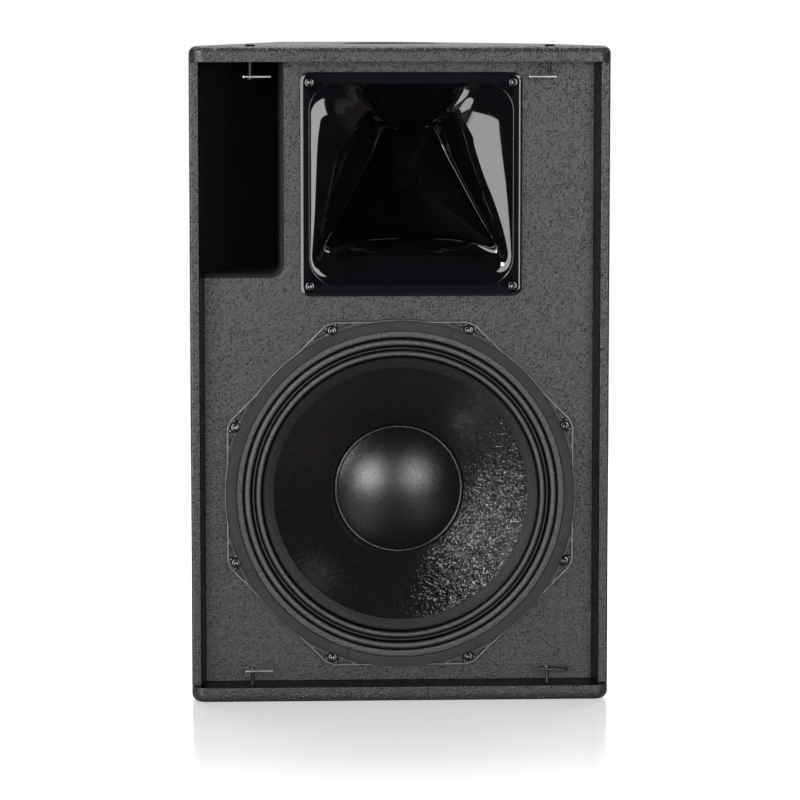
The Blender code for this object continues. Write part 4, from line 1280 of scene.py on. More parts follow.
for deeper in (1.2, 3.0):
    rings.append(np.column_stack([slot[:, :2] + unit * 0.1 * deeper, slot[:, 2] + deeper]))
even = np.linspace(0, 1, 12)[1:]
start = rings[-1]
end = np.column_stack([unit * THROAT_R, np.full(total, THROAT_DEPTH)])
for t in even:
    bulge = 0.18 * math.sin(math.pi * t)
    flat = start[:, :2] + (end[:, :2] - start[:, :2]) * (t**1.15)
    flat = flat + unit * (length * bulge * 0.25)
    depth = start[:, 2] + (end[:, 2] - start[:, 2]) * t**0.8
    rings.append(np.column_stack([flat, depth]))
rings.append(end + [0, 0, 6.0])
rings.append(np.column_stack([unit * 33.5, np.full(total, THROAT_DEPTH + 6.0)]))
rings.append(np.column_stack([unit * 33.5, np.full(total, THROAT_DEPTH - 4.0)]))
rings.append(np.column_stack([unit * 18.0, np.full(total, THROAT_DEPTH - 4.5)]))
mid = start * 0.55 + end * 0.45
rings.append(np.column_stack([mid[:, :2] + unit * 5.0, mid[:, 2] + 4.0]))
rings.append(np.column_stack([slot[:, :2] + unit * 4.5, slot[:, 2] + 7.0]))
for share in (0.65, 0.3):
    ring = mouth + (slot - mouth) * share
    out = ring[:, :2] / np.linalg.norm(ring[:, :2], axis=1, keepdims=True)
    deep = bell_depth(share, reach, slot[:, 2:3])[:, 0]
    rings.append(
        np.column_stack([ring[:, :2] + out * 3.0, np.maximum(deep + 5.0, 6.2)])
    )
back_d = BAFFLE_D - GAP - HORN_D
rings.append(flat_ring(MOUTH_W + 3.5, MOUTH_H + 3.5, 29.0, back_d + 0.4))
rings.append(flat_ring(MOUTH_W + 4.0, MOUTH_H + 4.0, 29.0, back_d))
rings.append(flat_ring(115.0, 116.0, 9.0, back_d))
horn = loft(
    [
        [front_place(HORN[0] + x, HORN[1] + z, HORN_D + d) for x, z, d in ring]
        for ring in rings
    ],
    "horn_flare_gloss",
    GLOSS,
    sharp=28.0,
)
# behind the slot the passage to the throat is painted near-black and dull, painted shade in place of the horn's gloss
horn.data.materials.append(THROAT)
horn.data.materials.append(FLANGE)
for face in horn.data.polygons:
    mid = face.center
    x, z = mid[0] / MM - HORN[0], mid[2] / MM - HORN[1]
    d = mid[1] / MM + DEPTH / 2 - HORN_D
    nearest = int(np.argmin(np.hypot(slot[:, 0] - x, slot[:, 1] - z)))
    inner = math.hypot(x, z) < math.hypot(slot[nearest, 0], slot[nearest, 1]) + 0.12
    if d > slot[nearest, 2] + 0.6 and inner:
        face.material_index = 1
    if d < 2.6 and max(abs(x), abs(z)) > 104.8:
        face.material_index = 2
cuts = []
for spot in HORN_SCREWS:
    cuts.append(
        (
            "DIFFERENCE",
            cutter(
                turned(
                    "h0",
                    [
                        (0, HORN_D - 2),
                        (6.6, HORN_D - 2),
                        (6.2, HORN_D + 0.02),
                        (5.4, HORN_D + 0.8),
                        (5.2, 37.0),
                        (2.6, 37.0),
                        (2.6, 44.0),
                        (0, 44.0),
                    ],
                    40,
                    spot,
                    None,
                    front_place,
                )
            ),
        )
    )
put(apply_booleans(horn, cuts), "cabinet", "horn_flare", "gloss_black_plastic")


# ---- screws -----------------------------------------------------------------
def socket_screw(name, spot, head, seat, end, head_r, shank_r, socket_r, node, place=front_place, mat=None):
    """A socket-head screw along w with a rounded head edge and a hexagon socket. head is the outer end."""
    steps = 48
    out = 1.0 if head > seat else -1.0
    a = 2 * np.pi * np.arange(steps) / steps
    off = (a % (np.pi / 3)) - np.pi / 6
    hexagon = socket_r * math.cos(math.pi / 6) / np.cos(off)

    def ring(radius, w):
        radius = np.broadcast_to(radius, (steps,))
        return [
            place(spot[0] + r * math.cos(t), spot[1] + r * math.sin(t), w)
            for r, t in zip(radius, a)
        ]

    rings = [
        ring(0.05, head - out * (head - seat) * out * 0.72),
        ring(hexagon * 0.98, head - out * abs(head - seat) * 0.6),
        ring(hexagon, head - out * 0.45),
        ring(hexagon + 0.45, head),
        ring(head_r - 0.9, head),
        ring(head_r - 0.3, head - out * 0.25),
        ring(head_r, head - out * 0.8),
        ring(head_r, seat + out * 0.2),
        ring(head_r - 0.2, seat),
        ring(shank_r, seat),
    ]
    turns = int(abs(end - seat) / 1.25)
    rings += [
        ring(shank_r - (0.22 if k % 2 else 0.0), seat + (end - seat) * k / (turns * 2))
        for k in range(1, turns * 2)
    ]
    rings += [ring(shank_r - 0.5, end), ring(0.05, end)]
    made = loft(rings, name, mat or SCREW, closed=False, caps=True)
    return put(made, "cabinet", node, "black_steel")


for k, spot in enumerate(BOLTS):
    socket_screw(f"woofer_bolt_{k + 1}", spot, 27.8, 33.4, 64.0, 4.4, 2.8, 2.5, f"woofer_screw_{k + 1}")
for k, spot in enumerate(HORN_SCREWS):
    socket_screw(f"horn_bolt_{k + 1}", spot, 32.6, 36.7, 60.0, 4.6, 2.3, 2.4, f"horn_screw_{k + 1}")

# ---- woofer basket ----------------------------------------------------------
PER_EAR = 120
STEPS = 8 * PER_EAR
theta = 2 * np.pi * np.arange(STEPS) / STEPS + math.radians(22.5)
off = (theta - math.radians(22.5) + math.pi / 8) % (math.pi / 4) - math.pi / 8  # from the bolt
off = np.where(np.abs(off) < 1e-9, 0.0, off)
RING_R, EAR_IN = 183.0, 180.8
from_mid = math.pi / 8 - np.abs(off)  # from the middle between two ears
octagon = EAR_IN / np.cos(from_mid)
softened = np.minimum(octagon, 193.6 + 0 * octagon)
outer = np.maximum(RING_R, softened)


def basket_front(r, o, edge):
    """How far the flange's face stands behind its front plane at radius r and angle o from the bolt."""
    v = r * np.sin(np.abs(o))  # along the tangent
    u = r * np.cos(o)
    to_edge = (edge - r) * 0.93
    inner = u - 184.6
    # distance inside the triangular pocket beside the bolt
    inside = np.minimum(np.minimum(to_edge - 1.8, inner - 0.2 + v * 0.02), v - 6.6)
    pocket = np.clip(inside / 0.5, 0, 1)
    pocket = pocket * pocket * (3 - 2 * pocket)
    boss = np.clip((6.0 - np.hypot(u - 186.0, v)) / 0.5, 0, 1)
    seat = np.clip((5.4 - np.hypot(u - 186.0, v)) / 0.4, 0, 1)
    depth = 4.2 * pocket * (1 - boss) + 3.7 * seat
    # a low rim runs along the outer edge, round each pocket and round each bolt
    crest = np.maximum(
        np.clip(1 - np.abs(to_edge - 0.9) / 0.9, 0, 1),
        np.clip(1 - np.abs(inside + 0.7) / 0.8, 0, 1) * (v < 26),
    )
    lip = np.clip(1 - np.abs(np.hypot(u - 186.0, v) - 6.1) / 0.6, 0, 1)
    floor = 0.9 * np.clip((to_edge - 1.6) / 0.4, 0, 1)
    return np.where(pocket > 0, depth, floor * (1 - crest) * (1 - lip) * (1 - seat) + depth)


radial = np.concatenate([[0.0], np.linspace(0.02, 1, 46)])
front_rows = [
    (np.full(STEPS, 163.0), np.full(STEPS, 30.0)),
    (np.full(STEPS, 172.0), np.full(STEPS, 30.0)),
    (np.full(STEPS, 181.6), np.full(STEPS, 30.0)),
    (np.full(STEPS, 182.0), np.full(STEPS, 30.0)),
]
for t in radial:
    r = 182.3 + (outer - 0.35 - 182.3) * t
    front_rows.append((r, 30.0 + basket_front(r, off, outer)))
front_rows += [
    (outer - 0.1, np.full(STEPS, 30.0 + 0.15)),
    (outer, np.full(STEPS, 30.5)),
    (outer, np.full(STEPS, 39.5)),
    (outer - 0.3, np.full(STEPS, 39.7)),
]
windows = np.zeros(STEPS, bool)
for k in range(4):
    gap = (theta - math.radians(45 + 90 * k) + math.pi) % (2 * math.pi) - math.pi
    windows |= np.abs(gap) < math.radians(30)
STEP_SKIP = 4
coarse = list(range(0, STEPS, STEP_SKIP))


def full(r, d):
    return (np.full(STEPS, float(r)), np.full(STEPS, float(d)))


back_rows = [
    full(175.5, 39.7),
    full(175.5, 52.0),
    full(154.0, 69.7),
    full(110.0, 107.0),
    full(104.0, 112.0),
    full(104.0, 126.0),
    full(96.0, 134.0),
    full(58.0, 134.0),
    full(58.0, 129.0),
    full(92.0, 129.0),
    full(92.0, 116.0),
    full(99.5, 116.0),
    full(99.5, 110.0),
    full(108.5, 102.3),
    full(152.0, 65.0),
    full(169.0, 50.5),
    full(169.0, 37.0),
    full(163.0, 37.0),
]
rows = front_rows + back_rows
bm = bmesh.new()
made = []
for r, d in rows:
    made.append(
        [
            bm.verts.new(
                front_place(AXIS[0] + r[k] * math.cos(theta[k]), AXIS[1] + r[k] * math.sin(theta[k]), d[k])
            )
            for k in range(STEPS)
        ]
    )
first_back = len(front_rows)
window_out = first_back + 2
window_in = first_back + 13
for i in range(len(rows)):
    ring, after = made[i], made[(i + 1) % len(rows)]
    for k in range(STEPS):
        j = (k + 1) % STEPS
        open_here = windows[k] and windows[j]
        if i in (window_out, window_in) and open_here:
            continue
        bm.faces.new((ring[k], ring[j], after[j], after[k]))
# the windows' four walls: along their wide and narrow arcs, and at their two ends
for k in range(STEPS):
    j = (k + 1) % STEPS
    open_here = windows[k] and windows[j]
    open_before = windows[k - 1] and windows[k]
    a, b = made[window_out][k], made[window_out + 1][k]
    c, e = made[window_in][k], made[window_in + 1][k]
    if open_here:
        bm.faces.new((a, made[window_out][j], made[window_in + 1][j], e))
        bm.faces.new((b, made[window_out + 1][j], made[window_in][j], c))
    if open_here != open_before:
        bm.faces.new((a, b, c, e))
basket = settle(bm, "woofer_basket_cast", CAST, sharp=40.0)
basket.data.materials.append(POCKET)
basket.data.materials.append(RIM_PAINTED_HIGHLIGHT)
for face in basket.data.polygons:
    mid = face.center
    d = mid[1] / MM + DEPTH / 2
    x, z = mid[0] / MM - AXIS[0], mid[2] / MM - AXIS[1]
    r = math.hypot(x, z)
    if d < 31.0 and 181.0 < r < 182.32:
        face.material_index = 1
    if r < 182.35 or d > 36.5:
        continue
    turn = (math.atan2(z, x) - math.radians(22.5) + math.pi / 8) % (math.pi / 4) - math.pi / 8
    edge = max(RING_R, min(EAR_IN / math.cos(math.pi / 8 - abs(turn)), 193.6))
    to_edge = (edge - r) * 0.93
    v, u = r * math.sin(abs(turn)), r * math.cos(turn)
    inside = min(to_edge - 1.8, u - 184.8 + v * 0.02, v - 6.6)
    # the crests of the rim along the edge and round each pocket get the lighter metal, painted highlight
    if d < 30.5 and (to_edge < 1.5 or (-1.2 < inside < 0.0 and v < 26)):
        face.material_index = 2
    elif 0.0 <= inside < 0.9 or (d < 31.2 and 1.5 <= to_edge < 2.4 and inside < -1.2) or math.hypot(u - 186.0, v) < 5.2:
        face.material_index = 1
put(basket, "cabinet", "woofer_basket", "cast_grey")

# ---- gasket in eight segments with thin joints ------------------------------
GSTEPS = 8 * 60
profile = rounded([(171.3, 25.0), (181.2, 25.0), (181.2, 29.7), (171.3, 29.7)], [0.9, 0.9, 0.2, 0.2], 4)
ga = 2 * np.pi * np.arange(GSTEPS) / GSTEPS
joint = (ga - math.radians(27.0) + math.pi / 8) % (math.pi / 4) - math.pi / 8
groove = np.clip(1 - np.abs(joint) / math.radians(0.42), 0, 1)
rings = []
for r, d in profile:
    lift = 1.3 * groove * (1.0 if d < 27 else 0.0)
    rings.append(
        [
            front_place(AXIS[0] + r * math.cos(t), AXIS[1] + r * math.sin(t), d + g)
            for t, g in zip(ga, lift)
        ]
    )
put(loft(rings, "woofer_gasket_ring", GASKET, sharp=50), "cabinet", "woofer_gasket", "gasket_foam")


# ---- surround, cone, dust cap, coil, spider ---------------------------------
def shell(line, thickness):
    """A closed loop round a smooth line of (radius, w), with the thickness behind it."""
    front = [tuple(p) for p in line]
    back = [(r, w + thickness) for r, w in reversed(front)]
    return front + back


def through(points, samples):
    p = np.array(points, float)
    made = smooth_line([(x, y) for x, y in p], samples)
    return [tuple(q) for q in made] + [tuple(p[-1])]


def roll(r_mid, half, peak, base, count=10):
    """One half roll of the surround, from its outer foot to its inner foot."""
    t = np.linspace(0, math.pi, count)
    return [(r_mid + half * math.cos(a), base - (base - peak) * math.sin(a) ** 0.85) for a in t]


surround = (
    [(170.8, 28.3), (169.6, 28.2), (167.4, 28.15), (165.4, 28.4), (164.2, 29.2)]
    + roll(159.5, 3.9, 25.5, 29.8)
    + [(155.0, 29.6), (154.2, 28.5), (153.4, 28.2), (152.6, 28.5), (151.9, 29.6)]
    + roll(148.0, 3.5, 25.5, 29.8)
    + [(143.9, 30.6), (142.6, 31.4), (138.0, 33.0), (134.0, 34.6), (132.6, 35.0)]
)
surround = through(surround, 150)
SR = np.array([p[0] for p in surround])
cloth_obj = turned(
    "woofer_surround_cloth", shell(surround, 0.75), 256, AXIS, CLOTH, front_place, sharp=60
)
cloth_obj.data.materials.append(BAND)
for face in cloth_obj.data.polygons:
    mid = face.center
    r = math.hypot(mid[0] / MM - AXIS[0], mid[2] / MM - AXIS[1])
    face.material_index = 1 if r > 164.9 else 0
cloth_obj.data.update()
# tone by radius: high on the crests of the rolls, a painted highlight, and zero in the valleys, painted shade
ROLL_PAINTED_LIGHT = [
    (132.4, 0.12), (134.0, 0.18), (141.0, 0.20), (142.6, 0.1), (143.6, 0.0), (144.8, 0.0),
    (146.4, 0.45), (147.6, 1.0), (149.0, 0.7), (150.4, 0.25), (151.6, 0.0), (152.4, 0.12),
    (153.2, 0.5), (154.0, 0.2), (154.9, 0.0), (156.0, 0.0), (157.6, 0.5), (159.0, 1.0),
    (160.6, 0.8), (162.0, 0.3), (163.2, 0.0), (164.4, 0.0), (165.2, 0.6), (166.5, 0.95),
    (170.0, 0.9), (171.0, 0.5),
]


def write_tone(obj, stops):
    """How light the cloth is painted at each radius: on the surround, painted highlight on the crests and painted shade
    in the valleys.
    """
    co = np.zeros(len(obj.data.vertices) * 3, np.float32)
    obj.data.vertices.foreach_get("co", co)
    co = co.reshape(-1, 3) / MM
    r = np.hypot(co[:, 0] - AXIS[0], co[:, 2] - AXIS[1])
    tone = np.interp(r, [a for a, _ in stops], [b for _, b in stops])
    attribute = obj.data.attributes.new("tone", "FLOAT", "POINT")
    attribute.data.foreach_set("value", tone.astype(np.float32))


write_tone(cloth_obj, ROLL_PAINTED_LIGHT)


def bend_between(obj):
    """Bakes the piece's placement into its mesh and reads its points in millimetres; nothing is done with them."""
    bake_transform(obj)
    co = np.zeros(len(obj.data.vertices) * 3, np.float32)
    obj.data.vertices.foreach_get("co", co)
    co = co.reshape(-1, 3) / MM
    return obj


bend_between(cloth_obj)
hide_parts("woofer_surround")

CONE = through([(142.3, 33.6), (133.6, 36.4), (125.0, 40.4), (112.0, 46.8), (98.0, 54.8), (82.0, 65.4), (68.0, 76.2), (58.0, 85.4), (51.2, 92.2)], 80)
cone = turned("woofer_cone_paper", shell(CONE, 0.9), 256, AXIS, PAPER, front_place, sharp=50)
put(cone, "cone_assembly", "woofer_cone", "black_paper")

sphere = (64.6**2 + 19.6**2) / (2 * 19.6)
cap = [(68.0, 74.8), (67.7, 73.6), (67.0, 72.8), (66.0, 72.5), (65.2, 72.9), (64.7, 73.3)]
for r in np.linspace(64.2, 0.0, 40):
    w = 73.0 - (math.sqrt(sphere**2 - r**2) - (sphere - 19.6))
    cap.append((float(r), w))
back = [(r, w + 0.9) for r, w in reversed(cap[6:])] + [(65.0, 75.0), (67.4, 75.6)]
dome = turned("dust_cap_dome", cap + back, 192, AXIS, CAP, front_place, sharp=60)
put(dome, "cone_assembly", "dust_cap", "black_paper")

coil = [(49.6, 86.0), (50.7, 86.0), (50.7, 128.0)]
for k in range(24):
    w = 128.4 + k * 0.9
    coil += [(51.2, w), (51.6, w + 0.25), (51.6, w + 0.55), (51.2, w + 0.8)]
coil += [(50.7, 150.0), (49.6, 150.0)]
put(
    turned("voice_coil_wound", coil, 96, AXIS, COPPER, front_place),
    "cone_assembly",
    "voice_coil",
    "coil_copper",
)
spider = [(99.0, 115.2), (94.5, 115.2), (91.5, 114.9)]
for k, r in enumerate(np.linspace(88.0, 56.0, 9)):
    spider.append((float(r), 112.5 if k % 2 == 0 else 116.4))
spider += [(53.4, 114.8), (51.9, 115.0)]
spider = through(spider, 120)
spider_obj = turned("spider_cloth_disc", shell(spider, 0.5), 128, AXIS, SPIDER_CLOTH, front_place, sharp=60)
write_tone(spider_obj, [(50.0, 0.8), (100.0, 0.8)])
bend_between(spider_obj)
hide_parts("spider")

# ---- motor ------------------------------------------------------------------
for name, points, radii, mat, slot_name, node in (
    (
        "motor_top_plate_turned",
        [(52.6, 134.3), (95.0, 134.3), (95.0, 144.3), (52.6, 144.3)],
        0.8,
        BLACK_STEEL,
        "black_steel",
        "motor_top_plate",
    ),
    (
        "magnet_ring",
        [(60.0, 144.6), (100.0, 144.6), (100.0, 166.0), (60.0, 166.0)],
        1.5,
        FERRITE,
        "ferrite",
        "magnet",
    ),
    (
        "yoke_turned",
        [
            (14.0, 131.0),
            (48.6, 131.0),
            (48.6, 166.3),
            (97.0, 166.3),
            (97.0, 176.0),
            (94.0, 178.0),
            (14.0, 178.0),
        ],
        0.8,
        BLACK_STEEL,
        "black_steel",
        "yoke",
    ),
):
    put(
        turned(name, rounded(points, radii, 4), 128, AXIS, mat, front_place),
        "cabinet",
        node,
        slot_name,
    )
driver_d = HORN_D + THROAT_DEPTH + 6.0 + GAP
put(
    turned(
        "compression_driver_can",
        rounded(
            [
                (THROAT_R, driver_d),
                (33.0, driver_d),
                (33.0, driver_d + 10),
                (58.0, driver_d + 12),
                (60.0, driver_d + 14),
                (60.0, driver_d + 42),
                (51.0, driver_d + 44),
                (48.0, driver_d + 67),
                (0.02, driver_d + 67),
                (0.02, driver_d + 18),
                (THROAT_R, driver_d + 16),
            ],
            [0.3, 0.8, 0.8, 0.8, 0.8, 2.0, 1.0, 3.0, 0, 0, 0],
            4,
        ),
        96,
        HORN,
        BLACK_STEEL,
        front_place,
    ),
    "cabinet",
    "compression_driver",
    "black_steel",
)

# the driver's bore behind the throat is painted near-black too, painted shade
darken(
    bpy.data.objects["compression_driver_can"],
    lambda x, d, z, n: d < driver_d + 20 and math.hypot(x - HORN[0], z - HORN[1]) < 12.5,
    THROAT,
)

# ---- grille clamps ----------------------------------------------------------
TOP_FACE = HEIGHT - PLATE_T
clamps = [
    ("top_left", -154.0, True, 1, 0.0),
    ("top_right", 154.0, True, -1, 0.0),
    ("bottom_left", -154.0, False, 1, 0.0),
    ("bottom_right", 154.0, False, -1, 158.0),
]
for name, x, at_top, inwards, turn in clamps:

    def level(h, at_top=at_top):
        return TOP_FACE - h if at_top else PLATE_T + h

    thread = [(0.0, level(-8.5)), (1.6, level(-8.5))]
    h = -8.0
    while h < 16.4:
        thread += [(1.72, level(h)), (2.0, level(h + 0.3)), (2.0, level(h + 0.42))]
        h += 0.75
    thread += [(1.8, level(16.9)), (3.4, level(16.9)), (3.4, level(17.3))]
    thread += [(3.1, level(17.9)), (2.2, level(18.2)), (0.0, level(18.2))]
    put(
        turned(f"grille_stud_{name}_threaded", thread, 32, (x, 18.0), STUD_STEEL, plan_place, sharp=25),
        "cabinet",
        f"grille_stud_{name}",
        "zinc_steel",
    )
    ends = sorted((-inwards * 8.0, inwards * 21.6))
    loop = rounded(box_points(ends[0], ends[1], -6.5, 6.5), 1.5, 5)
    c, s = math.cos(math.radians(turn)), math.sin(math.radians(turn))
    loop = [(x + u * c - v * s, 18.0 + u * s + v * c) for u, v in loop]
    low, high = sorted((level(14.2), level(16.2)))
    put(
        plate(
            f"grille_tab_{name}_plate",
            loop,
            [circle((x, 18.0), 2.35, 32)],
            low,
            high,
            plan_place,
            # the bottom-right tab is zinc steel like the others; it gets the black steel as painted shade, since turned
            # as it is it catches no light
            BLACK_STEEL if name == "bottom_right" else STEEL,
            round_low=0.45,
            round_high=0.45,
            steps=3,
        ),
        f"clamp_{name}",
        f"grille_tab_{name}",
        "zinc_steel",
    )

# ---- top and bottom fittings ------------------------------------------------
cup = rounded(
    [
        (5.2, HEIGHT - 13),
        (50.0, HEIGHT - 13),
        (53.5, HEIGHT - 0.3),
        (56.0, HEIGHT - 0.3),
        (56.0, HEIGHT - 17.0),
        (14.0, HEIGHT - 17.0),
        (14.0, HEIGHT - 30.0),
        (5.2, HEIGHT - 30.0),
    ],
    [0.8, 4.0, 0.8, 0.5, 0.5, 0.5, 0.8, 0.8],
    6,
)
put(
    turned("top_suspension_cup_turned", cup, 128, CUP, BLACK_STEEL, plan_place),
    "cabinet",
    "top_suspension_cup",
    "black_steel",
)
for name, spot in CAPS.items():
    profile = [(0.0, 674.7), (4.6, 674.7), (5.0, 675.2), (5.0, HEIGHT + 0.9)]
    profile += [
        (5.0 - 1.2 * (1 - math.cos(a)), HEIGHT + 0.9 + 0.8 * math.sin(a))
        for a in np.radians(np.linspace(15, 90, 6))
    ]
    profile += [(2.4, HEIGHT + 1.75), (2.1, HEIGHT + 0.4), (0.0, HEIGHT + 0.3)]
    put(
        turned(f"stud_cap_{name}_moulded", profile, 48, spot, CAP_PLASTIC, plan_place),
        "cabinet",
        f"stud_cap_{name}",
        "matte_black_plastic",
    )
pole = rounded(
    [
        (18.2, 1.0),
        (44.0, 1.0),
        (44.0, 4.3),
        (22.0, 4.3),
        (22.0, 84.0),
        (0.02, 84.0),
        (0.02, 80.0),
        (18.2, 80.0),
    ],
    [1.4, 1.2, 0.3, 0.5, 2.0, 0, 0, 1.0],
    5,
)
put(
    turned("pole_socket_turned", pole, 96, POLE, BLACK_STEEL, plan_place),
    "cabinet",
    "pole_socket",
    "black_steel",
)

# ---- input plate ------------------------------------------------------------
SOCKETS = [(PLATE_X, PLATE_Z + 22.0), (PLATE_X, PLATE_Z - 22.0)]
put(
    plate(
        "input_plate_steel",
        rounded(box_points(PLATE_X - 50, PLATE_X + 50, PLATE_Z - 60, PLATE_Z + 60), 4, 6),
        [circle(s, 12.3, 48) for s in SOCKETS] + [circle(s, 2.1, 16) for s in PLATE_SCREWS],
        360.3,
        362.3,
        front_place,
        BLACK_STEEL,
        round_low=0.2,
        round_high=0.5,
        steps=3,
    ),
    "cabinet",
    "input_plate",
    "black_steel",
)
for k, spot in enumerate(SOCKETS):
    flange = plate(
        f"speaker_socket_{k + 1}_moulded",
        rounded(box_points(spot[0] - 13, spot[0] + 13, spot[1] - 15.5, spot[1] + 15.5), 3, 6),
        [],
        362.6,
        365.0,
        front_place,
        BLACK_PLASTIC,
        round_low=0.1,
        round_high=0.7,
        steps=3,
    )
    steps = 64
    barrel = turned(
        "s0", [(0, 336.0), (12.0, 336.0), (12.0, 363.6), (0, 363.6)], steps, spot, None, front_place
    )
    bore = turned(
        "s1",
        [(4.0, 346.0), (10.2, 346.0), (10.2, 364.4), (11.0, 365.3), (11.0, 370.0), (4.0, 370.0)],
        steps,
        spot,
        None,
        front_place,
    )
    core = turned("s2", [(0, 362.0), (7.0, 362.0), (7.0, 372.0), (0, 372.0)], 32, spot, None, front_place)
    put(
        apply_booleans(
            flange,
            [("UNION", cutter(barrel)), ("DIFFERENCE", cutter(bore)), ("DIFFERENCE", cutter(core))],
        ),
        "cabinet",
        f"speaker_socket_{k + 1}",
        "matte_black_plastic",
    )
for k, spot in enumerate(PLATE_SCREWS):
    socket_screw(
        f"input_plate_bolt_{k + 1}", spot, 364.8, 362.6, 354.0, 3.6, 1.7, 1.5, f"input_plate_screw_{k + 1}"
    )


# ---- recessed side handles --------------------------------------------------
def side_handle(name, d, side):
    place = wall_place(d, side)

    def loop(half_u, half_v, radius, w):
        return [place(u, v, w) for u, v in rounded(box_points(-half_u, half_u, -half_v, half_v), radius, 10)]

    rings = [
        loop(54.0, 63.0, 14.0, 0.3),
        loop(54.0, 63.0, 14.0, 1.2),
        loop(53.6, 62.6, 13.6, 2.0),
        loop(52.6, 61.6, 12.6, 2.6),
        loop(46.0, 55.0, 10.0, 2.6),
        loop(44.4, 53.4, 8.8, 2.1),
        loop(43.3, 52.3, 8.1, 1.0),
        loop(43.0, 52.0, 8.0, -0.5),
        loop(43.0, 52.0, 8.0, -36.0),
        loop(42.2, 51.2, 8.0, -39.5),
        loop(40.0, 49.0, 8.0, -41.6),
        loop(36.5, 45.5, 8.0, -42.0),
    ]
    back = [
        loop(38.0, 47.0, 8.0, -44.5),
        loop(45.0, 54.0, 9.0, -43.5),
        loop(46.0, 55.0, 10.0, -41.0),
        loop(46.0, 55.0, 10.0, 0.3),
    ]
    bm = bmesh.new()
    made = [[bm.verts.new(p) for p in ring] for ring in rings + back]
    for i in range(len(made)):
        if i == len(rings) - 1:
            continue
        ring, after = made[i], made[(i + 1) % len(made)]
        for k in range(len(ring)):
            j = (k + 1) % len(ring)
            bm.faces.new((ring[k], ring[j], after[j], after[k]))
    bm.faces.new(made[len(rings) - 1])
    bm.faces.new(made[len(rings)])
    handle = settle(bm, name + "_moulded", BLACK_PLASTIC)

    def along(u, v, w):
        return place(w, v, u)

    profile = [(0.0, -44.5), (12.5, -44.5), (12.5, -43.5), (10.6, -40.5), (9.4, -36.0), (9.0, -30.0)]
    profile += [(9.0 + 0.35 * math.cos(w * 0.7), w) for w in np.linspace(-26, 26, 27)]
    profile += [(9.0, 30.0), (9.4, 36.0), (10.6, 40.5), (12.5, 43.5), (12.5, 44.5), (0.0, 44.5)]
    bar = turned(name + "_bar", profile, 48, (-8.5, 24.0), None, along)
    put(
        apply_booleans(handle, [("UNION", cutter(bar))]),
        "cabinet",
        name,
        "matte_black_plastic",
    )


side_handle("side_handle_left", 185.0, -1)
side_handle("side_handle_right", 128.0, 1)

# ---- floor, light, camera ---------------------------------------------------
bm = bmesh.new()
bmesh.ops.create_grid(bm, x_segments=8, y_segments=8, size=30.0)
floor_mesh = bpy.data.meshes.new("floor")
bm.to_mesh(floor_mesh)
bm.free()
floor = bpy.data.objects.new("floor", floor_mesh)
bpy.context.scene.collection.objects.link(floor)
g = Graph("pale_floor", (0.8, 0.8, 0.81), 0.2)
pale = g.node("ShaderNodeMix", data_type="RGBA")
seen = g.node("ShaderNodeLightPath")
g.link(seen.outputs["Is Camera Ray"], pale.inputs["Factor"])
# to the camera the floor is pale; to every other ray it is dark brown, so its reflections in the object are painted
# brown
pale.inputs[6].default_value = (0.20, 0.15, 0.12, 1.0)
g.link(
    g.colour(g.spread(g.noise(1.4, 2.0), 0.3, 0.7), (0.79, 0.79, 0.80), (0.81, 0.81, 0.815)),
    pale.inputs[7],
)
g.link(pale.outputs[2], g.shader.inputs["Base Color"])
g.rough(g.spread(g.noise(5.0, 2.0), 0.3, 0.7, 0.12, 0.16))
# The floor glows a little to the eye only, and fades out far from the object, so that it meets the white backdrop with no line.
path = g.node("ShaderNodeLightPath")
glow = g.node("ShaderNodeEmission")
far = g.node("ShaderNodeVectorMath", operation="LENGTH")
g.link(g.coords, far.inputs[0])
parts = g.node("ShaderNodeSeparateXYZ")
g.link(g.coords, parts.inputs[0])
side_gap = g.maths("MAXIMUM", g.maths("SUBTRACT", g.maths("ABSOLUTE", parts.outputs[0]), 0.205), 0.0)
front_gap = g.maths("MAXIMUM", g.maths("SUBTRACT", g.maths("ABSOLUTE", parts.outputs[1]), 0.18), 0.0)
away = g.maths("SQRT", g.maths("ADD", g.maths("MULTIPLY", side_gap, side_gap), g.maths("MULTIPLY", front_gap, front_gap)))
# the glow is weaker next to the cabinet's footprint: a painted contact shadow on the floor
glowing = g.maths(
    "ADD",
    g.spread(away, 0.0, 0.30, 0.36, 0.5),
    g.spread(far.outputs["Value"], 0.45, 1.1, 0.0, 0.5),
)
g.link(g.maths("MULTIPLY", path.outputs["Is Camera Ray"], glowing), glow.inputs["Strength"])
added = g.node("ShaderNodeAddShader")
g.link(g.shader.outputs[0], added.inputs[0])
g.link(glow.outputs[0], added.inputs[1])
fade = g.maths(
    "MAXIMUM",
    g.spread(far.outputs["Value"], 0.75, 2.2),
    g.maths(
        "MULTIPLY",
        g.spread(far.outputs["Value"], 0.5, 1.3),
        g.maths("SUBTRACT", 1.0, path.outputs["Is Camera Ray"]),
    ),
)
clear = g.node("ShaderNodeBsdfTransparent")
mixed = g.node("ShaderNodeMixShader")
g.link(fade, mixed.inputs[0])
g.link(added.outputs[0], mixed.inputs[1])
g.link(clear.outputs[0], mixed.inputs[2])
g.link(mixed.outputs[0], g.tree.nodes["Material Output"].inputs["Surface"])
floor_mesh.materials.append(g.material)
floor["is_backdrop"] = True

world = bpy.data.worlds.new("studio")
bpy.context.scene.world = world
world.use_nodes = True
tree = world.node_tree
ground = tree.nodes["Background"]
ground.inputs["Color"].default_value = (0.9, 0.93, 1.0, 1.0)
ground.inputs["Strength"].default_value = 0.03
bright = tree.nodes.new("ShaderNodeBackground")
bright.inputs["Color"].default_value = (1.0, 1.0, 1.0, 1.0)
bright.inputs["Strength"].default_value = 1.0
path = tree.nodes.new("ShaderNodeLightPath")
mix = tree.nodes.new("ShaderNodeMixShader")
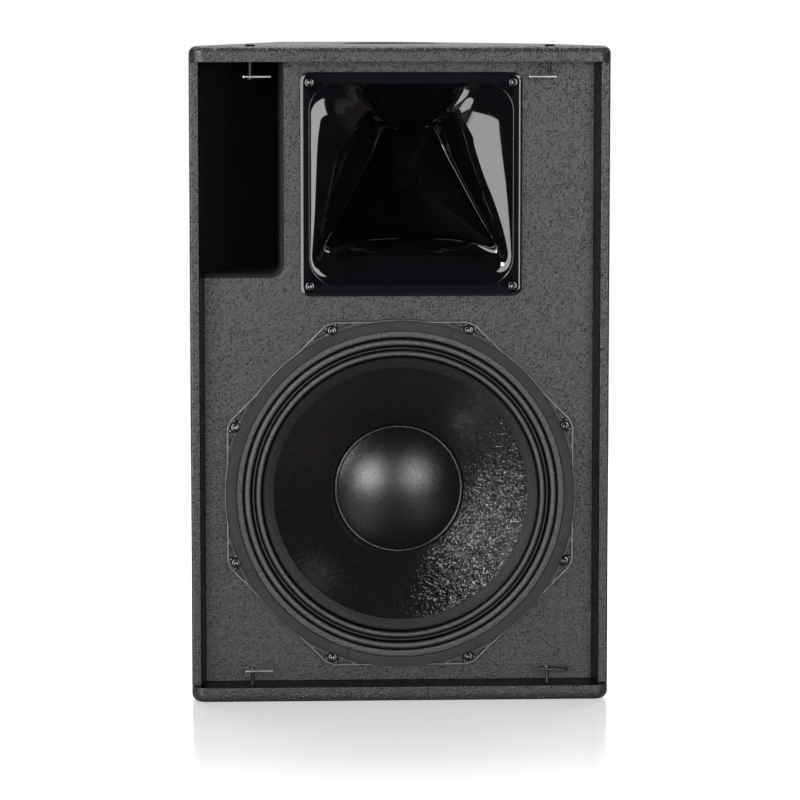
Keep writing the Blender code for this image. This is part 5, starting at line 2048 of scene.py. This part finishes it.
tree.links.new(path.outputs["Is Camera Ray"], mix.inputs[0])
tree.links.new(ground.outputs[0], mix.inputs[1])
tree.links.new(bright.outputs[0], mix.inputs[2])
tree.links.new(mix.outputs[0], tree.nodes["World Output"].inputs["Surface"])


def softbox(name, azimuth, elevation, distance, width, height, radiance, target=(0, -0.15, 0.34), glossy=True):
    """An even soft light of one brightness, facing the target."""
    a, e = math.radians(azimuth), math.radians(elevation)
    back = Vector((math.sin(a) * math.cos(e), -math.cos(a) * math.cos(e), math.sin(e)))
    data = bpy.data.lights.new(name, "AREA")
    data.shape = "RECTANGLE"
    data.size, data.size_y = width, height
    data.energy = radiance * math.pi * width * height
    lamp = bpy.data.objects.new(name, data)
    lamp.location = Vector(target) + back * distance
    lamp.rotation_euler = back.to_track_quat("Z", "Y").to_euler()
    lamp.visible_camera = False
    lamp.visible_glossy = glossy
    bpy.context.scene.collection.objects.link(lamp)
    return lamp


left_box = softbox("left_softbox", -39, 6, 2.2, 1.6, 3.0, 5.4)
right_box = softbox("right_softbox", 26, 8, 2.2, 0.85, 1.5, 6.0)
strip = softbox("upper_left_strip", -52, 36, 2.2, 0.5, 0.5, 24.0)
cap_left = softbox("cap_left_softbox", -31, 5, 2.2, 0.46, 0.8, 25.0)
cap_right = softbox("cap_right_softbox", 20, 6, 2.2, 0.44, 0.8, 18.0)
cone_side = softbox("cone_side_softbox", -46, 13, 2.2, 0.42, 0.9, 50.0)
cone_other = softbox("cone_other_softbox", 40, 20, 2.2, 0.3, 0.4, 1.0)
for lamp in (left_box, right_box, strip, cap_left, cap_right, cone_side, cone_other):
    lamp.visible_diffuse = False
softbox("front_key", -3, 8, 3.4, 1.3, 0.8, 62.0, glossy=False)
backdrop = softbox("backdrop", 180, 9, 2.4, 4.0, 1.3, 1.4)
backdrop_top = softbox("backdrop_for_top", 180, 9, 2.4, 4.0, 1.3, 0.85)
softbox("top_back", 180, 58, 2.4, 2.6, 1.2, 3.6)


def lights_only(lamps, pieces, name):
    """These lights shine on these pieces and no others, as a flag or a snoot would have them do."""
    group = bpy.data.collections.new(name)
    for piece in pieces:
        group.objects.link(piece)
    for lamp in lamps:
        lamp.light_linking.receiver_collection = group


front_pieces = {"woofer_cone_paper", "dust_cap_dome"}
top_piece = bpy.data.objects["top_panel_painted"]
meshes = [o for o in bpy.context.scene.objects if o.type == "MESH"]
lights_only((left_box, right_box, strip), [o for o in meshes if o.name not in front_pieces], "lit_by_sides")
lights_only((backdrop,), [o for o in meshes if o != top_piece], "lit_by_backdrop")
lights_only((backdrop_top,), [top_piece], "lit_top")
lights_only((cap_left, cap_right), [bpy.data.objects["dust_cap_dome"]], "lit_cap")
lights_only((cone_side, cone_other), [bpy.data.objects["woofer_cone_paper"]], "lit_cone")

az, el, distance = math.radians(-2.6), math.radians(6.013), 3.7
aim = Vector((-0.000889, -0.184, 0.34631))
back = Vector((math.sin(az) * math.cos(el), -math.cos(az) * math.cos(el), math.sin(el)))
camera_data = bpy.data.cameras.new("camera")
camera_data.sensor_width = 36.0
camera_data.lens = 36.0 * 3587.66 / 800.0
camera_data.shift_y = -0.036
camera_data.clip_end = 100.0
camera = bpy.data.objects.new("camera", camera_data)
camera.location = aim + back * distance
camera.rotation_mode = "QUATERNION"
camera.rotation_quaternion = back.to_track_quat("Z", "Y")
bpy.context.scene.collection.objects.link(camera)
bpy.context.scene.camera = camera
bpy.context.scene.view_settings.view_transform = "Standard"

low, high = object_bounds()
({
        "cad": [list(cad_lo), list(cad_hi)],
        "visual": [list(low), list(high)],
    })
